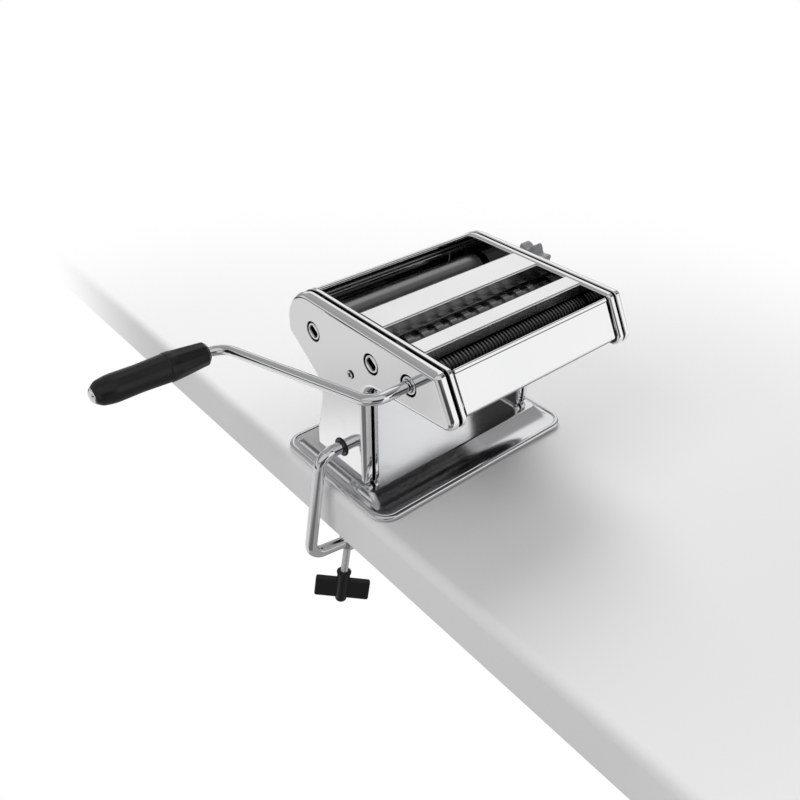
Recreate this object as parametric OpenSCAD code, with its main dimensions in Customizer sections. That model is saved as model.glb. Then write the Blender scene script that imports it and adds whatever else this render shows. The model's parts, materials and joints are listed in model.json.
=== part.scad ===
// Hand-cranked pasta machine with a table clamp, in millimetres.
// The origin is on the table under the middle of the base.
// X runs from the crank side to the knob side, Y from the front to the rear, Z up.

/* [Base] */
// Width of the base, side to side
base_w = 212; // [206:1:240]
// Depth of the base, front to rear
base_d = 138; // [130:1:180]
// Height of the flat top of the base
base_h = 11; // [9.5:0.5:16]
// Radius of the corners of the base
base_corner_r = 16; // [14:1:24]
// Sheet thickness of the base
base_sheet = 1; // [0.8:0.1:1.4]
// Radius of the rolled rim
rim_bead_r = 2.5; // [2.1:0.1:3]
// Height of the rim over the table
rim_lift = 0.8; // [0.4:0.1:1.4]
// Width of the ledge inside the rim
rim_ledge = 1.8; // [1.2:0.1:3]
// Width of the cove between the ledge and the flat top
cove_w = 4.5; // [4:0.1:5]
// Extra width of the cove along the front edge
apron_w = 16.5; // [8:0.5:22]
// Floor thickness of the moulded tray under the base
tray_floor = 3; // [2:0.5:5]
// Wall thickness of the tray
tray_wall = 2.4; // [1.6:0.2:4]

/* [Sides] */
// Height of the top edges over the table
top_z = 155.5; // [148:0.5:190]
// Distance from the edge of the base to the dark seam in each side
seam_x = 21; // [19:0.5:31]
// Width of the seam between frame and cover
seam_gap = 2.4; // [1.6:0.1:3.2]
// Depth of the inner frame pan
frame_depth = 4.8; // [4:0.1:6]
// Depth of the outer cover pan
cover_depth = 7.8; // [7.4:0.1:10]
// Sheet thickness of the frames
frame_sheet = 1.2; // [0.8:0.1:1.4]
// Sheet thickness of the covers
cover_sheet = 1; // [0.8:0.1:1.4]
// Bend radius around each cover
cover_bend_r = 4; // [3:0.1:5]
// Bend radius around each frame
frame_bend_r = 2.4; // [2:0.1:3]

/* [Side outline] */
// Front end of the top edge
top_front_y = -111; // [-114:0.5:-110]
// Corner radius there
front_top_r = 5; // [4.5:0.5:8]
// Front tip of the arm
nose_y = -131; // [-138:0.5:-129]
// Drop of the tip below the top edge
nose_drop = 37.8; // [36:0.1:42]
// Corner radius of the tip
nose_r = 7; // [5.5:0.5:9]
// Front edge of the post
post_front_y = -33; // [-38:0.5:-28]
// Drop of the lower edge of the arm at the post
arm_drop = 46; // [43:0.5:52]
// Fillet between arm and post
arm_fillet_r = 16; // [8:1:24]
// Rear edge of the post at the base
post_rear_y = 34; // [31:0.5:40]
// Corner radius at the foot of the post
foot_r = 5; // [4.5:0.5:8]
// Place of the bend in the rear edge of the post
knee_y = 32.8; // [29:0.2:36]
// Height of that bend over the base
knee_rise = 21; // [14:0.5:30]
// Rear edge of the waist
waist_y = 20.8; // [14:0.2:24]
// Drop of the waist below the top edge
waist_drop = 73.7; // [66:0.1:80]
// Fillet radius of the waist
waist_r = 20; // [10:1:28]
// Rear edge of the head
rear_y = 63.5; // [62:0.5:72]
// Drop of the lower rear corner below the top edge
rear_drop = 41.8; // [40:0.1:48]
// Radius of the lower rear corner
rear_low_r = 8; // [5:0.5:11]
// Radius of the upper rear corner
rear_top_r = 32; // [26:0.5:33]

/* [Rollers and cutters] */
// Driven dough roller, rear of the middle
dough_y = 27.3; // [26.5:0.1:28]
// Drop of the dough rollers below the top edge
dough_drop = 28.3; // [27:0.1:29.5]
// Driven wide cutter
wide_y = -43.3; // [-44:0.1:-42.5]
// Drop of the wide cutters
wide_drop = 23.5; // [22:0.1:25]
// Driven narrow cutter
narrow_y = -83.9; // [-84.8:0.1:-83.2]
// Drop of the narrow cutters
narrow_drop = 20.7; // [20:0.1:22]
// Diameter of the dough rollers
roller_d = 27.5; // [26.5:0.1:28]
// Gap between the dough rollers as drawn
roller_gap = 1.5; // [1.4:0.1:1.8]
// Travel of the second roller each way
gap_travel = 1.2; // [0.6:0.1:1.2]
// Distance between the two cutters of a pair
cutter_spacing = 18; // [17.8:0.1:18.2]
// How far the discs of a pair reach into each other
cutter_mesh = 1.5; // [1:0.1:1.7]
// Discs on each narrow cutter
narrow_discs = 48; // [36:1:50]
// Discs on each wide cutter
wide_discs = 11; // [8:1:13]
// Side play of a disc in its groove
disc_play = 0.2; // [0.15:0.05:0.3]
// Diameter of the driven shaft ends that hold the sockets
stub_d = 11.5; // [11.3:0.1:11.7]
// Diameter of the ring around each socket
socket_ring_d = 13.5; // [12.5:0.1:14]
// Depth of the rings behind the face of the cover
socket_recess = 1.8; // [1.4:0.1:2.4]
// Diameter of the holes in the cover for the sockets
drive_hole_d = 16.5; // [15.5:0.1:18]
// Diameter of the free shaft ends
journal_d = 8; // [7:0.1:8.4]
// Teeth of every gear
gear_teeth = 12; // [12:2:14]
// Play between meshing teeth
gear_play = 0.5; // [0.4:0.05:0.6]
// Width of the gears
gear_w = 6.2; // [4:0.1:6.2]

/* [Ties] */
// Rod between the covers, along the side
cover_rod_y = -18.9; // [-20:0.1:-18]
// Drop of that rod below the top edge
cover_rod_drop = 44.1; // [43.5:0.1:45]
// Distance of the front tie rod behind the tip of the arm
nose_tie_in = 13; // [11:0.5:15]
// Drop of the front tie rod
nose_tie_drop = 33.5; // [33:0.1:34]
// Middle tie rod, along the side
mid_tie_y = 40; // [39:0.5:42]
// Drop of the middle tie rod
mid_tie_drop = 49.5; // [48.5:0.5:50]
// Distance of the rear tie rod from the rear edge
rear_tie_in = 11.5; // [10:0.5:12]
// Drop of the rear tie rod
rear_tie_drop = 15.5; // [15:0.5:17]

/* [Panels and guards] */
// Sheet thickness of panels and guards
panel_sheet = 1.2; // [0.8:0.1:1.4]
// Height of the front panel along its lean
panel_h = 33; // [28:0.5:36]
// Gap between the front panel and the right frame
panel_gap = 5; // [0.5:0.5:8]
// Height of the hem along its top edge
hem_h = 3; // [2:0.1:5]
// Angle covered by the curved part of the rear panel
rear_panel_arc = 72; // [60:1:76]
// Rear edge of the guard beside the dough slot
guard_rear_y = -8; // [-9:0.1:-7]
// Front edge of that guard
guard_mid_y = -39.5; // [-41:0.1:-38]
// Rear edge of the guard between the cutters
guard_cut_y = -68; // [-70:0.1:-66]
// Front edge of that guard
guard_front_y = -84; // [-86:0.1:-82]

/* [Crank] */
// Diameter of the crank rod
crank_d = 8.2; // [7:0.1:8.6]
// Distance from the left cover to the first bend
crank_first_x = 31; // [23:0.5:41]
// Sideways distance from the first bend to the second
crank_second_x = 18; // [12:0.5:30]
// Radius of the crank circle
crank_r = 170; // [140:1:190]
// Turn of the crank from straight to the rear
crank_turn = -9.6; // [-30:0.1:30]
// Bend radius of the crank rod
crank_bend_r = 13; // [9:0.5:18]
// Bare rod between the second bend and the grip
grip_x = 1.3; // [0.5:0.1:16]
// Length of the grip
grip_l = 92; // [70:1:110]
// Diameter of the inner end of the grip
grip_neck_d = 19; // [16:0.5:21]
// Largest diameter of the grip
grip_d = 24; // [22:0.5:30]
// Distance from the inner end to the ring of the grip
grip_ring_l = 31; // [24:1:36]

/* [Clamp] */
// Diameter of the clamp rod
clamp_d = 10; // [9:0.1:11]
// Place of the clamp rod along the side
clamp_y = -3; // [-6:0.5:2]
// Height of the clamp rod over the table
clamp_z = 34.7; // [30:0.1:40]
// Distance from the left cover to the bend over the table edge
clamp_out_x = 20.9; // [18:0.1:25]
// Outward lean of the clamp leg
clamp_lean = 10; // [2:0.5:12]
// Length of the clamp leg between its bends
clamp_leg = 98.8; // [92:0.2:120]
// Length of the lower arm to the screw
clamp_reach = 40.4; // [36:0.2:46]
// Bend radius of the clamp rod
clamp_bend_r = 13; // [9:0.5:16]
// Diameter of the clamp screw
clamp_screw_d = 6.6; // [6:0.1:8]
// Height of the top of the pad over the lower arm as drawn
pad_lift = 21; // [20:0.5:24]
// Diameter of the pad
pad_d = 18; // [14:0.5:22]
// Span of the wing
wing_span = 49; // [40:1:56]
// Height of the wing
wing_h = 20; // [16:1:24]
// Turn of the wing about its screw
wing_turn = -40; // [-90:1:90]

/* [Knob] */
// Place of the knob along the side
knob_y = -8; // [-9:0.1:-7.5]
// Drop of the knob below the top edge
knob_drop = 22.5; // [21.5:0.1:24]
// Distance from the right cover to the lobed part
knob_stand = 10.5; // [8:0.5:16]
// Thickness of the lobed part
knob_t = 11.5; // [11:0.5:16]
// Radius over the lobes
knob_r = 20.5; // [19.5:0.5:26]
// Lobes around the knob
knob_lobes = 9; // [6:1:12]
// Travel of the knob when pulled
knob_pull = 4; // [2:0.5:4]
// Turn of the knob each way
knob_turn = 150; // [120:5:150]

/* [Hidden] */
$fn = 64;
run_play = 0.05;
press_play = 0.02;
slip_play = 0.1;
touch = 0.05;
bend_steps = 4;
corner_steps = 6;

base_corners = [
    [base_w / 2, base_d / 2, base_corner_r],
    [-base_w / 2, base_d / 2, base_corner_r],
    [-base_w / 2, -base_d / 2, base_corner_r],
    [base_w / 2, -base_d / 2, base_corner_r]
];
tray_gap = 0.5;
ledge_drop = 1.2;
rim_in = 2 * rim_bead_r + rim_ledge;
plate_in = rim_in + cove_w;
bead_z = rim_lift + rim_bead_r;
tray_in = plate_in + tray_gap;
cove_steps = 6;

seam_at = base_w / 2 - seam_x;
frame_x = seam_at - seam_gap / 2 - frame_depth;
frame_edge = seam_at - seam_gap / 2;
frame_out = frame_x + frame_sheet;
cover_edge = seam_at + seam_gap / 2;
cover_x = cover_edge + cover_depth;
cover_in = cover_x - cover_sheet;

front_top = [top_front_y, top_z];
nose = [nose_y, top_z - nose_drop];
lean = (nose - front_top) / norm(nose - front_top);
lean_in = [-lean[1], lean[0]];
side_corners = [
    [front_top[0], front_top[1], front_top_r],
    [nose[0], nose[1], nose_r],
    [post_front_y, top_z - arm_drop, arm_fillet_r],
    [post_front_y, base_h, foot_r],
    [post_rear_y, base_h, foot_r],
    [knee_y, base_h + knee_rise, 100],
    [waist_y, top_z - waist_drop, waist_r],
    [rear_y, top_z - rear_drop, rear_low_r],
    [rear_y, top_z, rear_top_r]
];
side_middle = [(post_front_y + waist_y) / 2, top_z - arm_drop + 8];

dough_at = [dough_y, top_z - dough_drop];
wide_at = [wide_y, top_z - wide_drop];
narrow_at = [narrow_y, top_z - narrow_drop];
roller_spacing = roller_d + roller_gap;
gap_at = dough_at - [roller_spacing, 0];
wide_partner_at = wide_at - [cutter_spacing, 0];
narrow_partner_at = narrow_at - [cutter_spacing, 0];
cover_rod_at = [cover_rod_y, top_z - cover_rod_drop];
tie_at = [
    [nose_y + nose_tie_in, top_z - nose_tie_drop],
    [mid_tie_y, top_z - mid_tie_drop],
    [rear_y - rear_tie_in, top_z - rear_tie_drop]
];
clamp_at = [clamp_y, clamp_z];
knob_at = [knob_y, top_z - knob_drop];

stub_r = stub_d / 2;
journal_r = journal_d / 2;
gap_journal_r = 5;
bush_wall = 2;
bush_flange = 1;
bush_reach = 2.4;
bush_end = frame_out + bush_reach;
shaft_over = 0.6;
gear_over = 0.4;
shoulder_r = 8;
shoulder_gap = 0.4;
cutter_gap = 2;
groove_play = 0.5;
comb_gap = 0.4;
comb_end_r = 16;
scraper_w = 5.6;
cutter_half = frame_x - cutter_gap;
cutter_r = (cutter_spacing + cutter_mesh) / 2;
cutter_root_r = cutter_spacing - cutter_r - groove_play;
slide_leg = 3.1;
slide_gap = 0.3;
slide_reach = 2.8;
slide_leg_in = frame_x - slide_gap - slide_leg;
slide_out = frame_out + slide_reach;
slide_room = 0.4;
slide_half_y = 10;
slide_half_z = 11;
roller_end_gap = 0.6;
roller_half = slide_leg_in - roller_end_gap;
roller_r = roller_d / 2;
gear_in = slide_out + gear_over;
gear_out = gear_in + gear_w;
socket_end = cover_x - socket_recess;
socket_l = 9.2;
socket_t = 6;
socket_depth = 21;
socket_turn = 35;
stub_inset = 8;
dough_gear_spacing = roller_spacing - gap_travel;
bar_drop = 24;
bar_h = 4.5;
bar_d = 8;
bar_gap = 0.25;

tie_r = 3;
screw_r = 2;
screw_head_r = 3.5;
screw_l = 10;
screw_hole_l = 12;
tie_head_h = 2;
cover_head_h = 1.4;
foot_screw_y = 18;
foot_screw_r = 1.5;
foot_screw_l = 8.5;
foot_hole_r = foot_screw_r + slip_play;
foot_head_r = 3;
foot_head_h = 1.8;
block_h = 8;
block_end = 7;
block_gap = 0.4;

panel_low = 0.4;
hem_proud = 0.7;
hem_step = 0.5;
panel_lip = 4;
tail_gap = 1;
rear_bead_r = 1.5;
guard_edge_r = 1.5;
guard_round_r = 7;
guard_drop = 12;
guard_gap = 1.6;

cam_r = 10.2;
cam_lift = gap_travel / knob_turn;
cam_gap = 1.4;
cam_t = 4.6;
cam_in = slide_out + cam_gap;
cam_out = cam_in + cam_t;
pin_r = 2;
pin_play = 0.2;
pin_at = knob_at + [cam_r + pin_r + pin_play, 0];
knob_shaft_r = 4;
knob_gap = 2;
knob_hub_r = 12;
knob_lobe_r = 4;
knob_lobe_turn = 100;
knob_lobe_lift = 0.5;
knob_waist = 5;
knob_step = 2;
knob_hole_r = 6;
knob_flange_r = 8;
knob_flange_h = 1.6;
knob_bush_over = 1.2;
knob_in = cover_x + knob_gap;
knob_lobe_in = cover_x + knob_stand;
knob_out = knob_lobe_in + knob_t;
knob_floor = knob_lobe_in + knob_step;
knob_well_r = 8.2;
spring_wire_r = 0.6;
spring_room = 1;
spring_coil_r = 5.6;
retainer_r = 6.6;
retainer_h = 1.8;
retainer_l = 8;
knob_cap_h = 2.6;
retainer_in = knob_floor + knob_pull + spring_room;

tip_gap = 1;
tip_shoulder = 0.3;
tip_lap = 0.5;
tip_play = 0.2;
crank_tip_in = socket_end - socket_depth + tip_gap;
crank_tip_out = socket_end + tip_shoulder;
crank_first = cover_x + crank_first_x;
crank_second = crank_first + crank_second_x;
crank_cut = crank_bend_r * tan(atan2(crank_r, crank_second_x) / 2);
grip_in = crank_second + crank_cut + grip_x;
grip_end = grip_in + grip_l;
grip_tip_l = 2.5;
grip_tip_step = 2;
grip_band = 3;
grip_waist_back = 35;
grip_waist_step = 1.2;
grip_swell_back = 13;
grip_swell_step = 0.8;
grip_round_back = 4.6;
grip_round_step = 2.2;
grip_end_step = 5;
cap_r = 6;
cap_h = 2.4;
cap_edge = 0.8;
cap_step = 1.8;
cap_crown = 0.4;
cap_gap = 0.3;

leg_way = [-sin(clamp_lean), -cos(clamp_lean)];
arm_way = [cos(clamp_lean), -sin(clamp_lean)];
clamp_out = cover_x + clamp_out_x;
clamp_low = [-clamp_out, 0] + clamp_leg * leg_way;
clamp_eye = clamp_low + clamp_reach * arm_way;
clamp_tail_gap = 3.8;
clamp_hole_gap = 1.6;
lip_h = 1.2;
lip_w = 3;
barb_w = 2.6;
barb_h = 1.6;
barb_step = 0.6;
eye_r = 8;
eye_h = 13;
pad_t = 5;
hub_r = 5.75;
hub_top = -35;
hub_l = 33;
screw_in_hub = 12;
pad_well = 2.5;
pad_gap = 0.2;
hub_collar = 0.8;
hub_collar_h = 1.5;
wing_t = 6;
wing_corner_r = 2;
wing_sink = 2;

function unit(v) = v / norm(v);
function left_of(v) = [-v[1], v[0]];
function cross_z(u, v) = u[0] * v[1] - u[1] * v[0];
function prev_of(list, i) = list[(i + len(list) - 1) % len(list)];
function next_of(list, i) = list[(i + 1) % len(list)];
function spot(c) = [c[0], c[1]];

// Corners of a counter-clockwise outline moved inward by d, with their radii
function inset(corners, d) = [
    for (i = [0 : len(corners) - 1])
    let (c = spot(corners[i]))
    let (u = unit(c - spot(prev_of(corners, i))))
    let (v = unit(spot(next_of(corners, i)) - c))
    let (shift = (left_of(u) + left_of(v)) / (1 + u * v) * d)
    let (r = corners[i][2] - d * sign(cross_z(u, v)))
    [c[0] + shift[0], c[1] + shift[1], max(r, 0.05)]
];

// Points of an outline with every corner rounded
function rounded(corners, steps) = [
    for (i = [0 : len(corners) - 1])
    let (c = spot(corners[i]), r = corners[i][2])
    let (u = unit(c - spot(prev_of(corners, i))))
    let (v = unit(spot(next_of(corners, i)) - c))
    let (turn = atan2(cross_z(u, v), u * v))
    let (side = sign(turn))
    let (start = c - u * r * tan(abs(turn) / 2))
    let (middle = start + left_of(u) * r * side)
    let (first = atan2(start[1] - middle[1], start[0] - middle[0]))
    for (k = [0 : steps])
    let (a = first + turn * k / steps)
    middle + r * [cos(a), sin(a)]
];

// Inset and height of each ring of a bent pan, from its face round the flange and back
function pan_rings(face_x, edge_x, bend, sheet) =
    let (way = sign(edge_x - face_x))
    concat(
        [for (k = [0 : bend_steps])
            let (a = 90 * k / bend_steps)
            [bend * (1 - sin(a)), face_x + way * bend * (1 - cos(a))]],
        [[0, edge_x], [sheet, edge_x]],
        [for (k = [bend_steps : -1 : 0])
            let (a = 90 * k / bend_steps)
            [bend - (bend - sheet) * sin(a), face_x + way * (bend - (bend - sheet) * cos(a))]]
    );

// Inset, height and front set-back of each ring of the base, from the flat top over the rim and back
function base_rings() =
    let (low = 2 * bead_z - rim_lift - ledge_drop, inner_r = rim_bead_r - base_sheet)
    concat(
        [for (k = [0 : cove_steps])
            let (t = k / cove_steps, s = (1 - t) * (1 - t))
            [plate_in - cove_w * t, low + (base_h - low) * s, apron_w * (1 - t)]],
        [for (a = [60 : -30 : -60])
            [rim_bead_r - rim_bead_r * cos(a), bead_z + rim_bead_r * sin(a), 0]],
        [for (a = [-60 : 30 : 60])
            [rim_bead_r - inner_r * cos(a), bead_z + inner_r * sin(a), 0]],
        [for (k = [cove_steps : -1 : 0])
            let (t = k / cove_steps, s = (1 - t) * (1 - t))
            let (z = low - base_sheet + (base_h - low) * s)
            [plate_in - cove_w * t + base_sheet / 2, z, apron_w * (1 - t)]]
    );

// Corners of one ring of the base, with the front edge set back for the apron
function base_outline(ring) = [
    for (c = inset(base_corners, ring[0]))
    [c[0], c[1] < 0 ? c[1] + ring[2] : c[1], c[2]]
];

function backward(list) = [for (i = [len(list) - 1 : -1 : 0]) list[i]];

// Spiral radius of the cam at an angle in its own frame
function cam_radius(a) = cam_r - cam_lift * a;

function inv_angle(a) = tan(a) * 180 / PI - a;

// One flank of an involute tooth: radius and half angle from root to tip
function flank(pitch_r, base_r, root_r, tip_r, half) = concat(
    [[root_r, half + inv_angle(acos(base_r / pitch_r))]],
    [for (k = [0 : 5])
        let (r = max(base_r, root_r) + (tip_r - max(base_r, root_r)) * k / 5)
        [r, half + inv_angle(acos(base_r / pitch_r)) - inv_angle(acos(min(1, base_r / r)))]]
);

// Middles of the discs along a cutter, moved half a step for its partner
function disc_places(count, shift) =
    let (pitch = 2 * cutter_half / count)
    [for (i = [0 : count - 1]) -cutter_half + pitch * (i + 0.25 + shift / 2)];

// Turns a shape drawn in Y and Z, with its height along X, into place
module along_x() {
    multmatrix([[0, 0, 1, 0], [1, 0, 0, 0], [0, 1, 0, 0], [0, 0, 0, 1]])
        children();
}

module at_yz(p) {
    translate([0, p[0], p[1]])
        along_x()
            children();
}

module rod_x(p, r, x0, x1) {
    at_yz(p)
        translate([0, 0, x0])
            cylinder(h = x1 - x0, r = r);
}

module both_sides() {
    children();
    mirror([1, 0, 0])
        children();
}

module left_side() {
    mirror([1, 0, 0])
        children();
}

// Thin pressed shape through a row of outlines, closed by fans from a point that sees every corner
module pressed(outlines, heights, middle, upward) {
    loops = [for (outline = outlines) rounded(outline, corner_steps)];
    n = len(loops[0]);
    m = len(loops);
    points = concat(
        [for (i = [0 : m - 1]) for (p = loops[i]) [p[0], p[1], heights[i]]],
        [for (i = [0, m - 1]) [middle[0], middle[1], heights[i]]]
    );
    sides = [
        for (i = [0 : m - 2])
        for (j = [0 : n - 1])
        let (k = (j + 1) % n)
        [i * n + j, (i + 1) * n + j, (i + 1) * n + k, i * n + k]
    ];
    first = [for (j = [0 : n - 1]) [j, (j + 1) % n, m * n]];
    last = [for (j = [0 : n - 1]) [(m - 1) * n + (j + 1) % n, (m - 1) * n + j, m * n + 1]];
    faces = concat(sides, first, last);
    polyhedron(points, upward ? faces : [for (f = faces) backward(f)]);
}

module side_pan(face_x, edge_x, bend, sheet) {
    rings = pan_rings(face_x, edge_x, bend, sheet);
    along_x()
        pressed([for (ring = rings) inset(side_corners, ring[0])], [for (ring = rings) ring[1]],
            side_middle, edge_x > face_x);
}

module rounded_slab(w, d, r, h) {
    linear_extrude(h)
        union() {
            square([w, d - 2 * r], center = true);
            square([w - 2 * r, d], center = true);
            for (sx = [-1, 1], sy = [-1, 1])
                translate([sx * (w / 2 - r), sy * (d / 2 - r)])
                    circle(r);
        }
}

module foot_screw_holes() {
    both_sides()
        for (sy = [-1, 1])
            translate([seam_at, sy * foot_screw_y, -1])
                cylinder(h = base_h + block_h + 1, r = foot_hole_r);
}

// Rod of one plane through a row of corners, bent at each
module bent_rod(path, r, bend) {
    last = len(path) - 1;
    ways = [for (i = [0 : last - 1]) unit(path[i + 1] - path[i])];
    cuts = [
        for (i = [0 : last])
        i == 0 || i == last ? 0
            : bend * tan(abs(atan2(cross_z(ways[i - 1], ways[i]), ways[i - 1] * ways[i])) / 2)
    ];
    for (i = [0 : last - 1])
        rod_between(path[i] + ways[i] * cuts[i], path[i + 1] - ways[i] * cuts[i + 1], r);
    for (i = [1 : last - 1])
        rod_bend(path[i], ways[i - 1], ways[i], cuts[i], r, bend);
}

module rod_between(p, q, r) {
    way = q - p;
    translate([p[0], p[1], 0])
        rotate([0, 0, atan2(way[1], way[0])])
            rotate([0, 90, 0])
                cylinder(h = norm(way), r = r);
}

// The bend is a hair thinner than the rod and laps a little into both straights
module rod_bend(corner, u, v, cut, r, bend) {
    turn = atan2(cross_z(u, v), u * v);
    lap = 0.3 / bend * 180 / PI;
    middle = corner - u * cut + left_of(u) * bend * sign(turn);
    start = turn > 0 ? corner - u * cut : corner + v * cut;
    translate([middle[0], middle[1], 0])
        rotate([0, 0, atan2(start[1] - middle[1], start[0] - middle[0]) - lap])
            rotate_extrude(angle = abs(turn) + 2 * lap)
                translate([bend, 0])
                    circle(r - press_play);
}

// Spur gear with a tooth on the first axis
module gear(spacing, bore_r, turn) {
    pitch_r = spacing / 2;
    size = spacing / gear_teeth;
    base_r = pitch_r * cos(25);
    root_r = pitch_r - 1.2 * size;
    tip_r = pitch_r + 0.95 * size;
    half = 90 / gear_teeth - gear_play / 4 / pitch_r * 180 / PI;
    one = flank(pitch_r, base_r, root_r, tip_r, half);
    points = [
        for (i = [0 : gear_teeth - 1])
        for (p = concat([for (q = one) [q[0], -q[1]]], backward(one)))
        let (a = 360 * i / gear_teeth + p[1] + turn)
        p[0] * [cos(a), sin(a)]
    ];
    translate([0, 0, -gear_out])
        linear_extrude(gear_w)
            difference() {
                polygon(points);
                circle(bore_r);
            }
}

// Flanged bearing in the right frame
module bush(p, shaft_r) {
    r = shaft_r + run_play;
    at_yz(p)
        rotate_extrude()
            polygon([
                [r, frame_x - bush_flange],
                [r + 2 * bush_wall, frame_x - bush_flange],
                [r + 2 * bush_wall, frame_x - press_play],
                [r + bush_wall, frame_x - press_play],
                [r + bush_wall, bush_end],
                [r, bush_end]
            ]);
}

module bush_hole(p, shaft_r) {
    rod_x(p, shaft_r + run_play + bush_wall + press_play, frame_x - 1, bush_end);
}

// Cutter with its discs, a free right end, and at its left a free end or a well for the stub
module cutter(count, shift, driven) {
    w = cutter_half / count - 2 * disc_play;
    ribs = [
        for (c = disc_places(count, shift))
        for (p = [
            [cutter_root_r, c - w / 2], [cutter_r, c - w / 2],
            [cutter_r, c + w / 2], [cutter_root_r, c + w / 2]
        ]) p
    ];
    well_r = stub_r + press_play;
    left = driven
        ? [[0, stub_inset - cutter_half], [well_r, stub_inset - cutter_half],
            [well_r, -cutter_half], [cutter_root_r, -cutter_half]]
        : [[0, -gear_out - gear_over], [journal_r, -gear_out - gear_over],
            [journal_r, -cutter_half], [cutter_root_r, -cutter_half]];
    right = [[cutter_root_r, cutter_half], [journal_r, cutter_half],
        [journal_r, bush_end + shaft_over], [0, bush_end + shaft_over]];
    rotate_extrude()
        polygon(concat(left, ribs, right));
}

// Driven left shaft end with the flat-sided socket for the crank
module drive_stub(inner_x) {
    difference() {
        union() {
            translate([0, 0, -socket_end])
                cylinder(h = socket_end - inner_x, r = stub_r);
            translate([0, 0, -socket_end])
                cylinder(h = socket_end - gear_out - gear_over / 2, r = socket_ring_d / 2);
        }
        translate([0, 0, -socket_end - 1])
            flat_sided(socket_l, socket_t, socket_depth + 1);
    }
}

module flat_sided(d, t, h) {
    rotate([0, 0, socket_turn])
        intersection() {
            cylinder(h = h, d = d);
            translate([-d, -t / 2, 0])
                cube([2 * d, t, h]);
        }
}

// Plate beside a roller, with teeth that reach into the grooves
module comb(p, angle, places, tooth_w, tip_r, back_r, end_r, half) {
    teeth = [
        for (c = places)
        for (q = [[back_r, c - tooth_w / 2], [tip_r, c - tooth_w / 2],
            [tip_r, c + tooth_w / 2], [back_r, c + tooth_w / 2]]) q
    ];
    at_yz(p)
        rotate([0, 0, angle])
            translate([0, panel_sheet / 2, 0])
                rotate([90, 0, 0])
                    linear_extrude(panel_sheet)
                        polygon(concat([[end_r, -half], [back_r, -half]], teeth,
                            [[back_r, half], [end_r, half]]));
}

module comb_pair(rear_at, count) {
    w = cutter_half / count - 3 * disc_play;
    tip_r = cutter_root_r + comb_gap;
    back_r = cutter_r + comb_gap;
    span = frame_x - slip_play;
    comb(rear_at, -75, disc_places(count, 1), w, tip_r, back_r, comb_end_r, span);
    comb(rear_at - [cutter_spacing, 0], -105, disc_places(count, 0), w, tip_r, back_r, comb_end_r,
        span);
}

module slide_block(pin) {
    difference() {
        union() {
            translate([slide_leg_in, gap_at[0] - slide_half_y, gap_at[1] - bar_drop])
                cube([slide_leg, 2 * slide_half_y, bar_drop + slide_half_z + 1]);
            translate([slide_leg_in + slide_leg, gap_at[0] - slide_half_y, gap_at[1] - slide_half_z])
                cube([slide_out - slide_leg_in - slide_leg, 2 * slide_half_y, 2 * slide_half_z]);
            if (pin)
                rod_x(pin_at, pin_r, slide_out - 1, cam_out);
        }
        rod_x(gap_at, gap_journal_r + run_play, slide_leg_in - 1, slide_out + 1);
    }
}

module slide_slot() {
    room_y = slide_half_y + gap_travel + slide_room;
    room_z = slide_half_z + slip_play;
    translate([frame_x - 1, gap_at[0] - room_y, gap_at[1] - room_z])
        cube([frame_sheet + 2, 2 * room_y, 2 * room_z]);
}

module frame_holes() {
    for (p = tie_at)
        rod_x(p, screw_r + slip_play, frame_x - 1, frame_edge);
    rod_x(cover_rod_at, tie_r + slip_play, frame_x - 1, frame_edge);
    bush_hole(wide_partner_at, journal_r);
    bush_hole(narrow_partner_at, journal_r);
    slide_slot();
}

module base_plate() {
    rings = base_rings();
    color("silver")
        difference() {
            pressed([for (ring = rings) base_outline(ring)], [for (ring = rings) ring[1]],
                [0, 0], false);
            foot_screw_holes();
        }
}

module base_tray() {
    w = base_w - 2 * tray_in;
    d = base_d - 2 * tray_in - apron_w;
    r = max(base_corner_r - tray_in, 2);
    color("dimgray")
        translate([0, apron_w / 2, 0])
            difference() {
                rounded_slab(w, d, r, base_h - base_sheet - touch);
                translate([0, 0, tray_floor])
                    rounded_slab(w - 2 * tray_wall, d - 2 * tray_wall, r, base_h);
            }
}

module right_frame() {
    color("silver")
        difference() {
            side_pan(frame_x, frame_edge, frame_bend_r, frame_sheet);
            frame_holes();
            foot_screw_holes();
            for (p = [dough_at, wide_at, narrow_at])
                bush_hole(p, journal_r);
        }
}

module left_frame() {
    color("silver")
        left_side()
            difference() {
                side_pan(frame_x, frame_edge, frame_bend_r, frame_sheet);
                frame_holes();
                foot_screw_holes();
                for (p = [dough_at, wide_at, narrow_at])
                    bush_hole(p, stub_r);
            }
}

module right_cover() {
    color("silver")
        difference() {
            side_pan(cover_x, cover_edge, cover_bend_r, cover_sheet);
            foot_screw_holes();
            rod_x(cover_rod_at, screw_r + slip_play, cover_edge, cover_x + 1);
            rod_x(knob_at, knob_hole_r, cover_edge, cover_x + 1);
        }
}

module left_cover() {
    color("silver")
        left_side()
            difference() {
                side_pan(cover_x, cover_edge, cover_bend_r, cover_sheet);
                foot_screw_holes();
                rod_x(cover_rod_at, screw_r + slip_play, cover_edge, cover_x + 1);
                for (p = [dough_at, wide_at, narrow_at])
                    rod_x(p, drive_hole_d / 2, cover_edge, cover_x + 1);
                rod_x(clamp_at, clamp_d / 2 + clamp_hole_gap, cover_edge, cover_x + 1);
            }
}

module foot_block() {
    x0 = frame_out + frame_bend_r - frame_sheet + block_gap;
    x1 = cover_in - cover_bend_r + cover_sheet - block_gap / 2;
    z0 = base_h + max(frame_sheet, cover_sheet) + touch;
    difference() {
        translate([x0, -foot_screw_y - block_end, z0])
            cube([x1 - x0, 2 * (foot_screw_y + block_end), block_h]);
        for (sy = [-1, 1])
            translate([seam_at, sy * foot_screw_y, z0 - 1])
                cylinder(h = block_h + 2, r = foot_screw_r);
    }
}

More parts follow.
